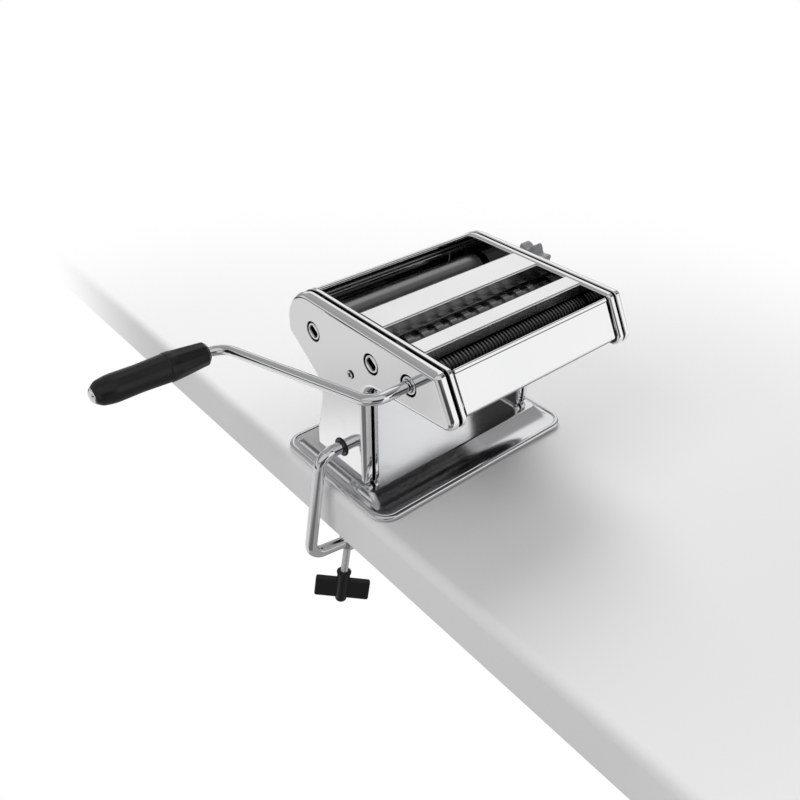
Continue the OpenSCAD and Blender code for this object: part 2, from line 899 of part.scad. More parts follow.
module right_foot_block() {
    color("gray")
        foot_block();
}

module left_foot_block() {
    color("gray")
        left_side()
            foot_block();
}

module foot_screws() {
    z = base_h - base_sheet - press_play;
    color("dimgray")
        both_sides()
            for (sy = [-1, 1])
                translate([seam_at, sy * foot_screw_y, z]) {
                    translate([0, 0, -foot_head_h])
                        cylinder(h = foot_head_h, r = foot_head_r);
                    cylinder(h = foot_screw_l, r = foot_screw_r - press_play);
                }
}

module front_panel() {
    t = panel_sheet;
    places = [
        [panel_low, -hem_proud], [hem_h, -hem_proud], [hem_h + hem_step, 0], [panel_h, 0],
        [panel_h, panel_lip], [panel_h - t, panel_lip], [panel_h - t, t], [panel_low, t]
    ];
    span = frame_x - slip_play;
    color("silver")
        along_x()
            translate([0, 0, -span])
                linear_extrude(2 * span - panel_gap)
                    polygon([for (p = places) front_top + p[0] * lean + p[1] * lean_in]);
}

module rear_panel() {
    t = panel_sheet;
    r = rear_top_r - touch;
    span = frame_x - slip_play;
    middle = [rear_y - rear_top_r, top_z - rear_top_r];
    tail = rear_drop - rear_top_r - tail_gap;
    bead_at = middle + (r - rear_bead_r) * [cos(rear_panel_arc), sin(rear_panel_arc)];
    color("silver") {
        at_yz(middle)
            rotate_extrude(angle = rear_panel_arc)
                translate([r - t, -span])
                    square([t, 2 * span]);
        translate([-span, middle[0] + r - t, middle[1] - tail])
            cube([2 * span, t, tail]);
        rod_x(bead_at, rear_bead_r, -span, span);
    }
}

module guard(rear, front, rear_r, rear_drop, front_drop) {
    t = panel_sheet;
    high = top_z - panel_low;
    outer = rounded([[rear, high, rear_r], [front, high, guard_edge_r],
        [front, high - front_drop, 0.05], [rear, high - rear_drop, 0.05]], corner_steps);
    inner = rounded([[rear - t, high - t, rear_r - t], [front + t, high - t, guard_edge_r - t],
        [front + t, high - front_drop - 2, 0.05], [rear - t, high - rear_drop - 2, 0.05]], corner_steps);
    span = frame_x - slip_play;
    color("silver")
        along_x()
            translate([0, 0, -span])
                linear_extrude(2 * span)
                    difference() {
                        polygon(outer);
                        polygon(inner);
                    }
}

module roller_guard() {
    guard(guard_rear_y, guard_mid_y, guard_round_r, guard_drop, wide_drop - cutter_r - guard_gap);
}

module cutter_guard() {
    guard(guard_cut_y, guard_front_y, guard_edge_r, wide_drop - cutter_r - guard_gap,
        narrow_drop - cutter_r - guard_gap);
}

module tie_rods() {
    color("silver")
        for (p = tie_at)
            difference() {
                rod_x(p, tie_r, touch - frame_x, frame_x - touch);
                rod_x(p, screw_r, frame_x - screw_hole_l, frame_x + 1);
                rod_x(p, screw_r, -frame_x - 1, screw_hole_l - frame_x);
            }
}

module tie_screws() {
    color("dimgray")
        both_sides()
            for (p = tie_at) {
                rod_x(p, screw_r - press_play, frame_x - screw_l, frame_out + touch + 1);
                rod_x(p, screw_head_r, frame_out + touch, frame_out + touch + tie_head_h);
            }
}

module cover_rod() {
    x = cover_in - touch;
    color("silver")
        difference() {
            rod_x(cover_rod_at, tie_r, -x, x);
            rod_x(cover_rod_at, screw_r, x - screw_hole_l, x + 1);
            rod_x(cover_rod_at, screw_r, -x - 1, screw_hole_l - x);
        }
}

module cover_screws() {
    color("silver")
        both_sides() {
            rod_x(cover_rod_at, screw_r - press_play, cover_in - screw_l, cover_x + 1);
            rod_x(cover_rod_at, screw_head_r, cover_x + press_play, cover_x + cover_head_h);
        }
}

module roller_bushes() {
    color("darkgoldenrod") {
        bush(dough_at, journal_r);
        left_side()
            bush(dough_at, stub_r);
    }
}

module wide_bushes() {
    color("darkgoldenrod") {
        both_sides()
            bush(wide_partner_at, journal_r);
        bush(wide_at, journal_r);
        left_side()
            bush(wide_at, stub_r);
    }
}

module narrow_bushes() {
    color("darkgoldenrod") {
        both_sides()
            bush(narrow_partner_at, journal_r);
        bush(narrow_at, journal_r);
        left_side()
            bush(narrow_at, stub_r);
    }
}

module wide_combs() {
    color("gainsboro")
        comb_pair(wide_at, wide_discs);
}

module narrow_combs() {
    color("gainsboro")
        comb_pair(narrow_at, narrow_discs);
}

module rear_scraper() {
    near_r = roller_r + comb_gap;
    color("gainsboro")
        comb(dough_at, -60, [], 0, 0, near_r, near_r + scraper_w, frame_x - slip_play);
}

module clamp_grommet() {
    r = clamp_d / 2 + run_play;
    hole_r = clamp_d / 2 + clamp_hole_gap - touch;
    color("dimgray")
        at_yz(clamp_at)
            rotate_extrude()
                polygon([
                    [r, -cover_x - lip_h], [r + lip_w, -cover_x - lip_h], [r + lip_w, -cover_x - touch],
                    [hole_r, -cover_x - touch], [hole_r, -cover_in + touch], [r + barb_w, -cover_in + touch],
                    [r + barb_w - barb_step, -cover_in + barb_h], [r, -cover_in + barb_h]
                ]);
}

module knob_bush() {
    r = knob_shaft_r + run_play;
    color("dimgray")
        at_yz(knob_at)
            rotate_extrude()
                polygon([
                    [r, cover_in - knob_flange_h], [knob_flange_r, cover_in - knob_flange_h],
                    [knob_flange_r, cover_in - touch], [knob_hole_r - touch, cover_in - touch],
                    [knob_hole_r - touch, cover_x + knob_bush_over], [r, cover_x + knob_bush_over]
                ]);
}

module driven_roller() {
    shoulder = frame_x - bush_flange - shoulder_gap;
    well_r = stub_r + press_play;
    color("gainsboro")
        at_yz(dough_at)
            rotate_extrude()
                polygon([
                    [0, stub_inset - roller_half], [well_r, stub_inset - roller_half],
                    [well_r, -shoulder], [shoulder_r, -shoulder], [shoulder_r, -roller_half],
                    [roller_r, -roller_half], [roller_r, roller_half],
                    [shoulder_r, roller_half], [shoulder_r, shoulder], [journal_r, shoulder],
                    [journal_r, bush_end + shaft_over], [0, bush_end + shaft_over]
                ]);
}

module dough_socket() {
    color("silver")
        at_yz(dough_at)
            drive_stub(roller_half - stub_inset + press_play);
}

module dough_gear() {
    color("gray")
        at_yz(dough_at)
            gear(dough_gear_spacing, stub_r + press_play, 0);
}

module left_slide() {
    color("gray")
        left_side()
            slide_block(false);
}

module right_slide() {
    color("gray")
        slide_block(true);
}

module carrier_bar() {
    half = slide_leg_in - press_play;
    color("gray")
        translate([-half, gap_at[0] - slide_half_y, gap_at[1] - bar_drop])
            cube([2 * half, bar_d, bar_h]);
}

module front_scraper() {
    far_r = (bar_drop - bar_h) / sin(110) - bar_gap;
    color("gainsboro")
        comb(gap_at, -110, [], 0, 0, roller_r + comb_gap, far_r, roller_half - cutter_gap);
}

module gap_roller() {
    color("gainsboro")
        at_yz(gap_at)
            rotate_extrude()
                polygon([
                    [0, -gear_out - gear_over], [gap_journal_r, -gear_out - gear_over],
                    [gap_journal_r, -roller_half], [roller_r, -roller_half],
                    [roller_r, roller_half], [gap_journal_r, roller_half],
                    [gap_journal_r, slide_out], [0, slide_out]
                ]);
}

module gap_gear() {
    color("gray")
        at_yz(gap_at)
            gear(dough_gear_spacing, gap_journal_r + press_play, 180 / gear_teeth);
}

module wide_cutter() {
    color("gainsboro")
        at_yz(wide_at)
            cutter(wide_discs, 0, true);
}

module wide_socket() {
    color("silver")
        at_yz(wide_at)
            drive_stub(cutter_half - stub_inset + press_play);
}

module wide_gear() {
    color("gray")
        at_yz(wide_at)
            gear(cutter_spacing, stub_r + press_play, 0);
}

module wide_partner() {
    color("gainsboro")
        at_yz(wide_partner_at)
            cutter(wide_discs, 1, false);
}

module wide_partner_gear() {
    color("gray")
        at_yz(wide_partner_at)
            gear(cutter_spacing, journal_r + press_play, 180 / gear_teeth);
}

module narrow_cutter() {
    color("gainsboro")
        at_yz(narrow_at)
            cutter(narrow_discs, 0, true);
}

module narrow_socket() {
    color("silver")
        at_yz(narrow_at)
            drive_stub(cutter_half - stub_inset + press_play);
}

module narrow_gear() {
    color("gray")
        at_yz(narrow_at)
            gear(cutter_spacing, stub_r + press_play, 0);
}

module narrow_partner() {
    color("gainsboro")
        at_yz(narrow_partner_at)
            cutter(narrow_discs, 1, false);
}

module narrow_partner_gear() {
    color("gray")
        at_yz(narrow_partner_at)
            gear(cutter_spacing, journal_r + press_play, 180 / gear_teeth);
}

module cam_shaft() {
    reach = knob_turn + 15;
    color("gray")
        at_yz(knob_at)
            difference() {
                union() {
                    translate([0, 0, cam_in])
                        linear_extrude(cam_out - cam_in)
                            polygon([
                                for (a = [-reach : 15 : reach])
                                cam_radius(a) * [cos(a), sin(a)]
                            ]);
                    translate([0, 0, cam_in])
                        cylinder(h = retainer_in - cam_in, r = knob_shaft_r);
                }
                translate([0, 0, retainer_in - screw_l])
                    cylinder(h = screw_l + 1, r = screw_r);
            }
}

module knob_retainer() {
    color("silver")
        at_yz(knob_at) {
            translate([0, 0, retainer_in + press_play])
                cylinder(h = retainer_h, r = retainer_r);
            translate([0, 0, retainer_in - retainer_l])
                cylinder(h = retainer_l + 1, r = screw_r - press_play);
        }
}

module knob_spring() {
    coils = 3;
    steps = 16;
    sides = 8;
    wire = spring_wire_r;
    rise = knob_pull + spring_room - 2 * wire - 2 * touch;
    count = coils * steps;
    points = [
        for (i = [0 : count])
        for (k = [0 : sides - 1])
        let (a = 360 * i / steps, b = 360 * k / sides)
        let (r = spring_coil_r + wire * cos(b))
        [r * cos(a), r * sin(a), knob_floor + touch + wire + rise * i / count + wire * sin(b)]
    ];
    skin = [
        for (i = [0 : count - 1])
        for (k = [0 : sides - 1])
        let (j = (k + 1) % sides)
        [i * sides + k, i * sides + j, (i + 1) * sides + j, (i + 1) * sides + k]
    ];
    first = [for (k = [sides - 1 : -1 : 0]) k];
    last = [for (k = [0 : sides - 1]) count * sides + k];
    color("silver")
        at_yz(knob_at)
            polyhedron(points, concat(skin, [first], [last]));
}

module gap_knob() {
    color("gray")
        at_yz(knob_at)
            difference() {
                union() {
                    translate([0, 0, knob_in])
                        cylinder(h = knob_lobe_in - knob_in + 1, r = knob_hub_r);
                    translate([0, 0, knob_lobe_in])
                        cylinder(h = knob_t, r = knob_r - knob_waist);
                    for (i = [0 : knob_lobes - 1])
                        rotate([0, 0, knob_lobe_turn + 360 * i / knob_lobes])
                            translate([knob_r - knob_lobe_r, 0, knob_lobe_in + knob_lobe_lift])
                                cylinder(h = knob_t - knob_step - knob_lobe_lift, r = knob_lobe_r);
                }
                translate([0, 0, knob_in - 1])
                    cylinder(h = knob_t + knob_stand, r = knob_shaft_r + slip_play);
                translate([0, 0, knob_floor])
                    cylinder(h = knob_t, r = knob_well_r);
            }
}

module knob_cap() {
    color("dimgray")
        at_yz(knob_at)
            translate([0, 0, knob_out - knob_step])
                cylinder(h = knob_cap_h, r = knob_well_r - touch);
}

module crank_rod() {
    color("silver")
        translate([0, narrow_at[0], narrow_at[1]]) {
            along_x()
                translate([0, 0, -crank_tip_out - tip_lap])
                    flat_sided(socket_l - tip_play, socket_t - tip_play,
                        crank_tip_out + tip_lap - crank_tip_in);
            rotate([crank_turn, 0, 0])
                bent_rod([[-crank_tip_out, 0], [-crank_first, 0],
                    [-crank_second, crank_r], [-grip_end, crank_r]], crank_d / 2, crank_bend_r);
        }
}

module on_grip() {
    translate([0, narrow_at[0], narrow_at[1]])
        rotate([crank_turn, 0, 0])
            translate([-grip_in, crank_r, 0])
                rotate([0, -90, 0])
                    children();
}

module crank_grip() {
    bore_r = crank_d / 2 + slip_play;
    neck_r = grip_neck_d / 2;
    r = grip_d / 2;
    grip_sides = 10;
    color("dimgray")
        on_grip()
            difference() {
                union() {
                    cylinder(h = grip_tip_l, r1 = neck_r - grip_tip_step, r2 = neck_r, $fn = grip_sides);
                    translate([0, 0, grip_tip_l])
                        cylinder(h = grip_ring_l - grip_tip_l, r1 = neck_r, r2 = r, $fn = grip_sides);
                    rotate_extrude()
                        polygon([
                            [0, grip_ring_l], [r, grip_ring_l], [r, grip_ring_l + grip_band],
                            [r - grip_waist_step, grip_l - grip_waist_back],
                            [r - grip_swell_step, grip_l - grip_swell_back],
                            [r - grip_round_step, grip_l - grip_round_back],
                            [r - grip_end_step, grip_l], [0, grip_l]
                        ]);
                }
                translate([0, 0, -1])
                    cylinder(h = grip_l + 2, r = bore_r);
            }
}

module grip_cap() {
    color("silver")
        on_grip()
            translate([0, 0, grip_l + cap_gap])
                rotate_extrude()
                    polygon([[0, 0], [cap_r, 0], [cap_r, cap_edge],
                        [cap_r - cap_step, cap_h - cap_crown], [0, cap_h]]);
}

// Plane of the clamp rod: X, and height over the clamp hole
module in_clamp() {
    translate([0, clamp_y, clamp_z])
        rotate([90, 0, 0])
            children();
}

// Along the clamp screw, from the middle of the eye
module on_screw() {
    translate([clamp_eye[0], clamp_y, clamp_z + clamp_eye[1]])
        rotate([0, clamp_lean, 0])
            children();
}

module clamp_rod() {
    color("silver")
        difference() {
            union() {
                in_clamp()
                    bent_rod([[-frame_out - clamp_tail_gap, 0], [-clamp_out, 0], clamp_low, clamp_eye],
                        clamp_d / 2, clamp_bend_r);
                on_screw()
                    translate([0, 0, -eye_h / 2])
                        cylinder(h = eye_h, r = eye_r);
            }
            on_screw()
                translate([0, 0, -eye_h])
                    cylinder(h = 2 * eye_h, r = clamp_screw_d / 2 + run_play);
        }
}

module clamp_pad() {
    color("dimgray")
        on_screw()
            translate([0, 0, pad_lift - pad_t])
                difference() {
                    cylinder(h = pad_t, r = pad_d / 2);
                    translate([0, 0, -1])
                        cylinder(h = pad_well + 1, r = clamp_screw_d / 2 + slip_play);
                }
}

module clamp_screw() {
    low = hub_top - screw_in_hub;
    color("silver")
        on_screw()
            translate([0, 0, low])
                cylinder(h = pad_lift - pad_t + pad_well - pad_gap - low, r = clamp_screw_d / 2);
}

module clamp_wing() {
    color("dimgray")
        on_screw()
            difference() {
                union() {
                    translate([0, 0, hub_top - hub_l])
                        cylinder(h = hub_l, r = hub_r);
                    translate([0, 0, hub_top - hub_collar_h])
                        cylinder(h = hub_collar_h, r = hub_r + hub_collar);
                    rotate([0, 0, wing_turn])
                        translate([0, wing_t / 2, hub_top - hub_l / 2 - wing_sink])
                            rotate([90, 0, 0])
                                rounded_slab(wing_span, wing_h, wing_corner_r, wing_t);
                }
                translate([0, 0, hub_top - screw_in_hub - press_play])
                    cylinder(h = screw_in_hub + 1, r = clamp_screw_d / 2 + press_play);
            }
}

base_plate();
base_tray();
left_frame();
right_frame();
left_cover();
right_cover();
left_foot_block();
right_foot_block();
foot_screws();
front_panel();
rear_panel();
roller_guard();
cutter_guard();
tie_rods();
tie_screws();
cover_rod();
cover_screws();
roller_bushes();
wide_bushes();
narrow_bushes();
wide_combs();
narrow_combs();
rear_scraper();
clamp_grommet();
knob_bush();
driven_roller();
dough_socket();
dough_gear();
left_slide();
right_slide();
carrier_bar();
front_scraper();
gap_roller();
gap_gear();
wide_cutter();
wide_socket();
wide_gear();
wide_partner();
wide_partner_gear();
narrow_cutter();
narrow_socket();
narrow_gear();
narrow_partner();
narrow_partner_gear();
cam_shaft();
knob_retainer();
knob_spring();
gap_knob();
knob_cap();
crank_rod();
crank_grip();
grip_cap();
clamp_rod();
clamp_pad();
clamp_screw();
clamp_wing();
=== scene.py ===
import json
import math
import bpy
import numpy as np
from mathutils import Matrix, Vector
from mathutils.geometry import delaunay_2d_cdt


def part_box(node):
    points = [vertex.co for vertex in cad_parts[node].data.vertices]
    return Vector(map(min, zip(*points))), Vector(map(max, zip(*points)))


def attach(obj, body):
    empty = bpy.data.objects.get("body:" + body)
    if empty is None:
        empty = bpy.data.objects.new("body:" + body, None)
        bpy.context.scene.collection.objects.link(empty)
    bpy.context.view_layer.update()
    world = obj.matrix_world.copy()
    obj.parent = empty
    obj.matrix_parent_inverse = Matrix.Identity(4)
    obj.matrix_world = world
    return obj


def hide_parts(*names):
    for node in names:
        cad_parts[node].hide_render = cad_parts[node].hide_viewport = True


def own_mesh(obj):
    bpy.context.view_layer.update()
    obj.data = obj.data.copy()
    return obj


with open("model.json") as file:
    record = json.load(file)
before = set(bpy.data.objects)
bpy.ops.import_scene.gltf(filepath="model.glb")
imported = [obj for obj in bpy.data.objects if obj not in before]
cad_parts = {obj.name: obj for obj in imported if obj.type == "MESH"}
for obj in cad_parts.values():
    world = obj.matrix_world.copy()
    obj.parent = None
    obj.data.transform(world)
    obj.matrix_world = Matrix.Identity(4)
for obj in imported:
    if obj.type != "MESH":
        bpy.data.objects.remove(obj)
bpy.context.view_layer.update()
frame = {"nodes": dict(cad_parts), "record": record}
nodes = frame["nodes"]
mm = 0.001  # every length below is in millimetres
leastRound = 0.02  # a corner without a radius of its own
weldWithin = 2e-4  # corners closer than this are one vertex
print("frame loaded:", len(nodes), "nodes")


def boxOf(node):
    low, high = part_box(node)
    return np.array(low) / mm, np.array(high) / mm


def unit(v):
    v = np.asarray(v, float)
    return v / np.maximum(np.linalg.norm(v, axis=-1, keepdims=True), 1e-12)


def rightOf(v):
    return np.stack([v[..., 1], -v[..., 0]], -1)


# from 0 to 1 with a level start and end: x x (3 - 2 x)
def smooth(x):
    return x * x * (3 - 2 * x)


# straight runs through the corners (x, y, radius), each corner an arc tangent to both of its runs;
# the normal is the way of travel turned a quarter: outward on a closed run, towards facing on an open one
def chain(corners, closed=True, facing=None, arcStep=6.0):
    c = [tuple(k) + (0.0,) * (3 - len(k)) for k in corners]
    c = np.array(c, float)
    points, normals = [], []
    for i in range(len(c)):
        here = c[i, :2]
        if not closed and i in (0, len(c) - 1):
            way = unit(c[1, :2] - c[0, :2]) if i == 0 else unit(c[-1, :2] - c[-2, :2])
            points.append(here[None])
            normals.append(rightOf(way)[None])
            continue
        u = unit(here - c[i - 1, :2])
        v = unit(c[(i + 1) % len(c), :2] - here)
        turn = math.atan2(u[0] * v[1] - u[1] * v[0], u @ v)
        r = max(c[i, 2], leastRound)
        start = here - u * r * math.tan(abs(turn) / 2)
        a = np.linspace(0, turn, max(2, math.ceil(math.degrees(abs(turn)) / arcStep)) + 1)
        side = rightOf(u)
        n = side * np.cos(a)[:, None] - rightOf(side) * np.sin(a)[:, None]
        points.append(start + np.sign(turn) * r * (n - side))
        normals.append(n)
    points, normals = np.concatenate(points), np.concatenate(normals)
    if closed:
        area = np.sum(points[:, 0] * np.roll(points[:, 1], -1) - np.roll(points[:, 0], -1) * points[:, 1])
        normals = normals * np.sign(area)
        points, normals = np.vstack([points, points[:1]]), np.vstack([normals, normals[:1]])
    elif facing is not None and normals[0] @ np.array(facing, float) < 0:
        normals = -normals
    return points, normals


# circle of radius r about a middle: the middle plus r times (cos a, sin a)
def circle(middle, r, steps=96):
    a = np.linspace(0, 2 * np.pi, steps + 1)
    n = np.stack([np.cos(a), np.sin(a)], -1)
    n[-1] = n[0]
    return np.asarray(middle, float) + r * n, n


# closed curve with a radius for each angle; its normals come from the differences along it
def polarCurve(radius, steps):
    a = np.linspace(0, 2 * np.pi, steps, endpoint=False)
    points = radius(a)[:, None] * np.stack([np.cos(a), np.sin(a)], -1)
    way = np.roll(points, -1, 0) - np.roll(points, 1, 0)
    normals = unit(rightOf(way))
    return np.vstack([points, points[:1]]), np.vstack([normals, normals[:1]])


# open curve through given points; normals from the differences along it, towards facing
def curve(points, facing):
    points = np.asarray(points, float)
    normals = unit(rightOf(np.gradient(points, axis=0)))
    return points, normals if normals[0] @ np.array(facing, float) > 0 else -normals


# the same run of points with more of them along its straight parts
def fill(points, step):
    far = np.concatenate([[0], np.cumsum(np.linalg.norm(np.diff(points, axis=0), axis=-1))])
    more = np.unique(np.concatenate([far, np.arange(0, far[-1], step)]))
    more = more[np.concatenate([[True], np.diff(more) > 1e-3])]
    return np.stack([np.interp(more, far, points[:, 0]), np.interp(more, far, points[:, 1])], -1)


# point = origin + u, v and w times the three axes
def put(axes, u, v, w, origin=(0, 0, 0)):
    a = np.asarray(axes, float)
    u, v, w = np.broadcast_arrays(u, v, w)
    return np.asarray(origin, float) + u[..., None] * a[0] + v[..., None] * a[1] + w[..., None] * a[2]


sideAxes = ((0, 1, 0), (0, 0, 1), (1, 0, 0))  # drawn in Y and Z, lifted along X
baseAxes = ((1, 0, 0), (0, 1, 0), (0, 0, 1))


def cells(grid):
    return np.stack([grid[:-1, :-1], grid[1:, :-1], grid[1:, 1:], grid[:-1, 1:]], 2).reshape(-1, 4, 3)


# one number for each corner of the cells
def marksOf(grid):
    return cells(np.repeat(np.asarray(grid, float)[..., None], 3, -1))[..., 0]


# every profile point (offset, lift) moves the whole outline along its own normals and lifts it
def loft(outline, profile, axes=sideAxes, origin=(0, 0, 0)):
    (op, on), (pp, pn) = outline, profile
    flat = op[None] + pp[:, :1, None] * on[None]
    points = put(axes, flat[..., 0], flat[..., 1], pp[:, 1:2], origin)
    turned = pn[:, :1, None] * on[None]
    normals = put(axes, turned[..., 0], turned[..., 1], pn[:, 1:2])
    return cells(points), cells(normals)


# point = middle + r (cos a side + sin a up) + height axis, for a profile of (r, height)
def lathe(profile, axes, origin, steps=96):
    return loft(circle((0, 0), 0, steps), profile, axes, origin)


# a point is inside where a line from it to one side crosses the loop an odd number of times
def inside(points, loop):
    a, b = loop, np.roll(loop, -1, 0)
    y = points[:, 1, None]
    across = (a[:, 1] > y) != (b[:, 1] > y)
    rise = np.where(np.abs(b[:, 1] - a[:, 1]) < 1e-12, 1e-12, b[:, 1] - a[:, 1])
    x = a[:, 0] + (y - a[:, 1]) * (b[:, 0] - a[:, 0]) / rise
    return ((points[:, 0, None] < x) & across).sum(1) % 2 == 1


# flat face inside the first loop and outside the others, at one lift
def cap(loops, lift, facing, axes=sideAxes, origin=(0, 0, 0)):
    loops = [np.asarray(k)[:-1] if np.allclose(k[0], k[-1]) else np.asarray(k) for k in loops]
    first = np.cumsum([0] + [len(k) for k in loops])
    points = np.concatenate(loops)
    edges = [(s + i, s + (i + 1) % len(k)) for s, k in zip(first, loops) for i in range(len(k))]
    found = delaunay_2d_cdt([Vector(p) for p in points.tolist()], edges, [], 1, 1e-6)
    source = np.array([ids[0] for ids in found[3]])
    triangles = points[source[np.array(found[2])]]
    middles = triangles.mean(1)
    keep = inside(middles, loops[0])
    for hole in loops[1:]:
        keep &= ~inside(middles, hole)
    t = triangles[keep]
    t = np.concatenate([t, t[:, 2:]], 1)
    corners = put(axes, t[..., 0], t[..., 1], np.array(float(lift)), origin)
    normal = np.asarray(axes, float)[2] * facing
    return corners, np.broadcast_to(normal, corners.shape)


# round tube along a path in one plane: point = path + r (cos a across + sin a binormal)
def tube(path, way, binormal, radius, steps=48):
    radius = np.broadcast_to(np.asarray(radius, float), (len(path),))
    a = np.linspace(0, 2 * np.pi, steps + 1)
    across = np.cross(binormal, way)
    ring = np.cos(a)[None, :, None] * across[:, None] + np.sin(a)[None, :, None] * np.asarray(binormal, float)
    ring[:, -1] = ring[:, 0]
    slope = np.gradient(radius) / np.maximum(np.linalg.norm(np.gradient(path, axis=0), axis=-1), 1e-9)
    normals = unit(ring - slope[:, None, None] * way[:, None])
    return cells(path[:, None] + radius[:, None, None] * ring), cells(normals)


# grid of a surface given by its points; the normal is the cross product of the two differences
def surface(points, wrap, outwardFrom):
    wide = np.concatenate([points[:, -2:-1], points, points[:, 1:2]], 1) if wrap else points
    du = np.gradient(points, axis=0)
    dv = np.gradient(wide, axis=1)
    dv = dv[:, 1:-1] if wrap else dv
    normals = unit(np.cross(du, dv))
    flip = np.sign(np.sum(normals * (points - outwardFrom), axis=-1).sum())
    return cells(points), cells(normals * (flip if flip else 1.0))


# profile of a straight wall from one lift to another
def upright(low, high):
    return np.array([[0.0, low], [0.0, high]]), np.array([[1.0, 0.0], [1.0, 0.0]])


# an outline carried straight from one lift to another, with flat ends
def extruded(outline, low, high, axes=sideAxes, origin=(0, 0, 0)):
    ends = [cap([outline[0]], low, -1, axes, origin), cap([outline[0]], high, 1, axes, origin)]
    return [loft(outline, upright(low, high), axes, origin)] + ends


# triangles from a ring of points to its middle
def fan(ring, middle, facing):
    spots = cells(np.stack([ring, np.broadcast_to(middle, ring.shape)]))
    return spots, np.broadcast_to(facing, spots.shape)


# the same patch with painted shade: a mark on its corners that darkens its colour, all over or by a rule on
# the corners
def dark(patch, amount=1.0, rule=None):
    marks = np.full(patch[0].shape[:2], 1.0) if rule is None else np.asarray(rule(patch[0]), float)
    return patch[0], patch[1], amount * marks


# one mesh of all patches: faces turned along their normals, equal corners welded, folded faces left out
def meshOf(name, patches):
    corners = np.concatenate([p[0] for p in patches])
    normals = np.concatenate([p[1] for p in patches])
    shade = np.concatenate([p[2] if len(p) > 2 else np.zeros(p[0].shape[:2]) for p in patches])
    facing = np.cross(corners[:, 2] - corners[:, 0], corners[:, 3] - corners[:, 1])
    turned = np.sum(facing * normals.mean(1), -1) < 0
    corners = np.where(turned[:, None, None], corners[:, ::-1], corners)
    normals = np.where(turned[:, None, None], normals[:, ::-1], normals)
    shade = np.where(turned[:, None], shade[:, ::-1], shade)
    keys = np.round(corners.reshape(-1, 3) / weldWithin).astype(np.int64)
    _, first, index = np.unique(keys, axis=0, return_index=True, return_inverse=True)
    index = index.reshape(-1, 4)
    keep = index != np.roll(index, -1, 1)
    whole = (keep.sum(1) > 2) & (index[:, 0] != index[:, 2]) & (index[:, 1] != index[:, 3])
    keep &= whole[:, None]
    index, normals, shade, counts = index[keep], normals[keep], shade[keep], keep.sum(1)[whole]
    faces = [f.tolist() for f in np.split(index, np.cumsum(counts)[:-1])]
    mesh = bpy.data.meshes.new(name)
    mesh.from_pydata((corners.reshape(-1, 3)[first] * mm).tolist(), [], faces, shade_flat=False)
    mesh.normals_split_custom_set(unit(normals).tolist())
    # the painted shade marks, and the tent's tones, are kept per corner in the attribute shade
    if shade.any():
        mesh.attributes.new("shade", "FLOAT", "CORNER").data.foreach_set("value", shade.astype(np.float32))
    return mesh


def addPiece(name, patches, body, slot, finish, *replaced):
    piece = bpy.data.objects.new(name, meshOf(name, patches))
    bpy.context.scene.collection.objects.link(piece)
    piece.data.materials.append(finish)
    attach(piece, body)
    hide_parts(*replaced)
    return piece


# Finishes
# near black colour of the painted shade in wells, recesses, seams and inner faces
paintedShadeColour = (0.012, 0.012, 0.013)
smudgeShare, lineShare = 0.75, 0.25  # of a metal's roughness


# a shader node with its settings; in0, in1 and so on set the input of that number
def addNode(tree, kind, **values):
    made = tree.nodes.new(kind)
    for key, value in values.items():
        if key[:2] == "in" and key[2:].isdigit():
            made.inputs[int(key[2:])].default_value = value
        else:
            setattr(made, key, value)
    return made


def startGroup(name, inputs, outputs):
    group = bpy.data.node_groups.new(name, "ShaderNodeTree")
    for label, kind, value in inputs:
        made = group.interface.new_socket(label, in_out="INPUT", socket_type=kind)
        if value is not None:
            made.default_value = value
    for label in outputs:
        group.interface.new_socket(label, in_out="OUTPUT", socket_type="NodeSocketFloat")
    return group, group.nodes.new("NodeGroupInput"), group.nodes.new("NodeGroupOutput")


# noise at a place; its size comes from a socket or stays as set
def addNoise(group, place, size=None, **values):
    made = addNode(group, "ShaderNodeTexNoise", **values)
    group.links.new(place, made.inputs["Vector"])
    if size:
        group.links.new(size, made.inputs["Scale"])
    return made.outputs[0]


# polishing traces: smudges of use, fine lines along one way, and the slow wave of a pressed sheet
def polishGroup():
    group, given, out = startGroup(
        "polishTraces",
        [("Position", "NodeSocketVector", None), ("Stretch", "NodeSocketVector", (40.0, 900.0, 900.0)),
         ("Smudge Size", "NodeSocketFloat", 38.0), ("Wave Size", "NodeSocketFloat", 22.0)],
        ["Smudge", "Lines", "Wave", "Tone"])
    link = group.links.new
    place = given.outputs["Position"]
    blot = addNoise(group, place, given.outputs["Smudge Size"], in3=4.0, in4=0.62)
    soft = addNode(group, "ShaderNodeMapRange", interpolation_type="SMOOTHSTEP", in1=0.46, in2=0.74)
    link(blot, soft.inputs[0])
    link(soft.outputs[0], out.inputs["Smudge"])
    long = addNode(group, "ShaderNodeVectorMath", operation="MULTIPLY")
    link(place, long.inputs[0])
    link(given.outputs["Stretch"], long.inputs[1])
    link(addNoise(group, long.outputs[0], in2=1.0, in3=3.0, in4=0.6), out.inputs["Lines"])
    link(addNoise(group, place, given.outputs["Wave Size"], in3=1.0, in4=0.4), out.inputs["Wave"])
    link(addNoise(group, place, in2=9.0, in3=2.0, in4=0.5), out.inputs["Tone"])
    return group


# moulded grain: fine pits of a spark-eroded mould, and paler rubbed patches
def mouldGroup():
    group, given, out = startGroup(
        "mouldGrain",
        [("Position", "NodeSocketVector", None), ("Grain Size", "NodeSocketFloat", 1400.0),
         ("Rub Size", "NodeSocketFloat", 60.0)],
        ["Grain", "Rub"])
    link = group.links.new
    place = given.outputs["Position"]
    grain = addNode(group, "ShaderNodeTexVoronoi", feature="SMOOTH_F1")
    link(place, grain.inputs["Vector"])
    link(given.outputs["Grain Size"], grain.inputs["Scale"])
    link(grain.outputs["Distance"], out.inputs["Grain"])
    link(addNoise(group, place, given.outputs["Rub Size"], in3=4.0, in4=0.6), out.inputs["Rub"])
    return group


polish = polishGroup()
mould = mouldGroup()


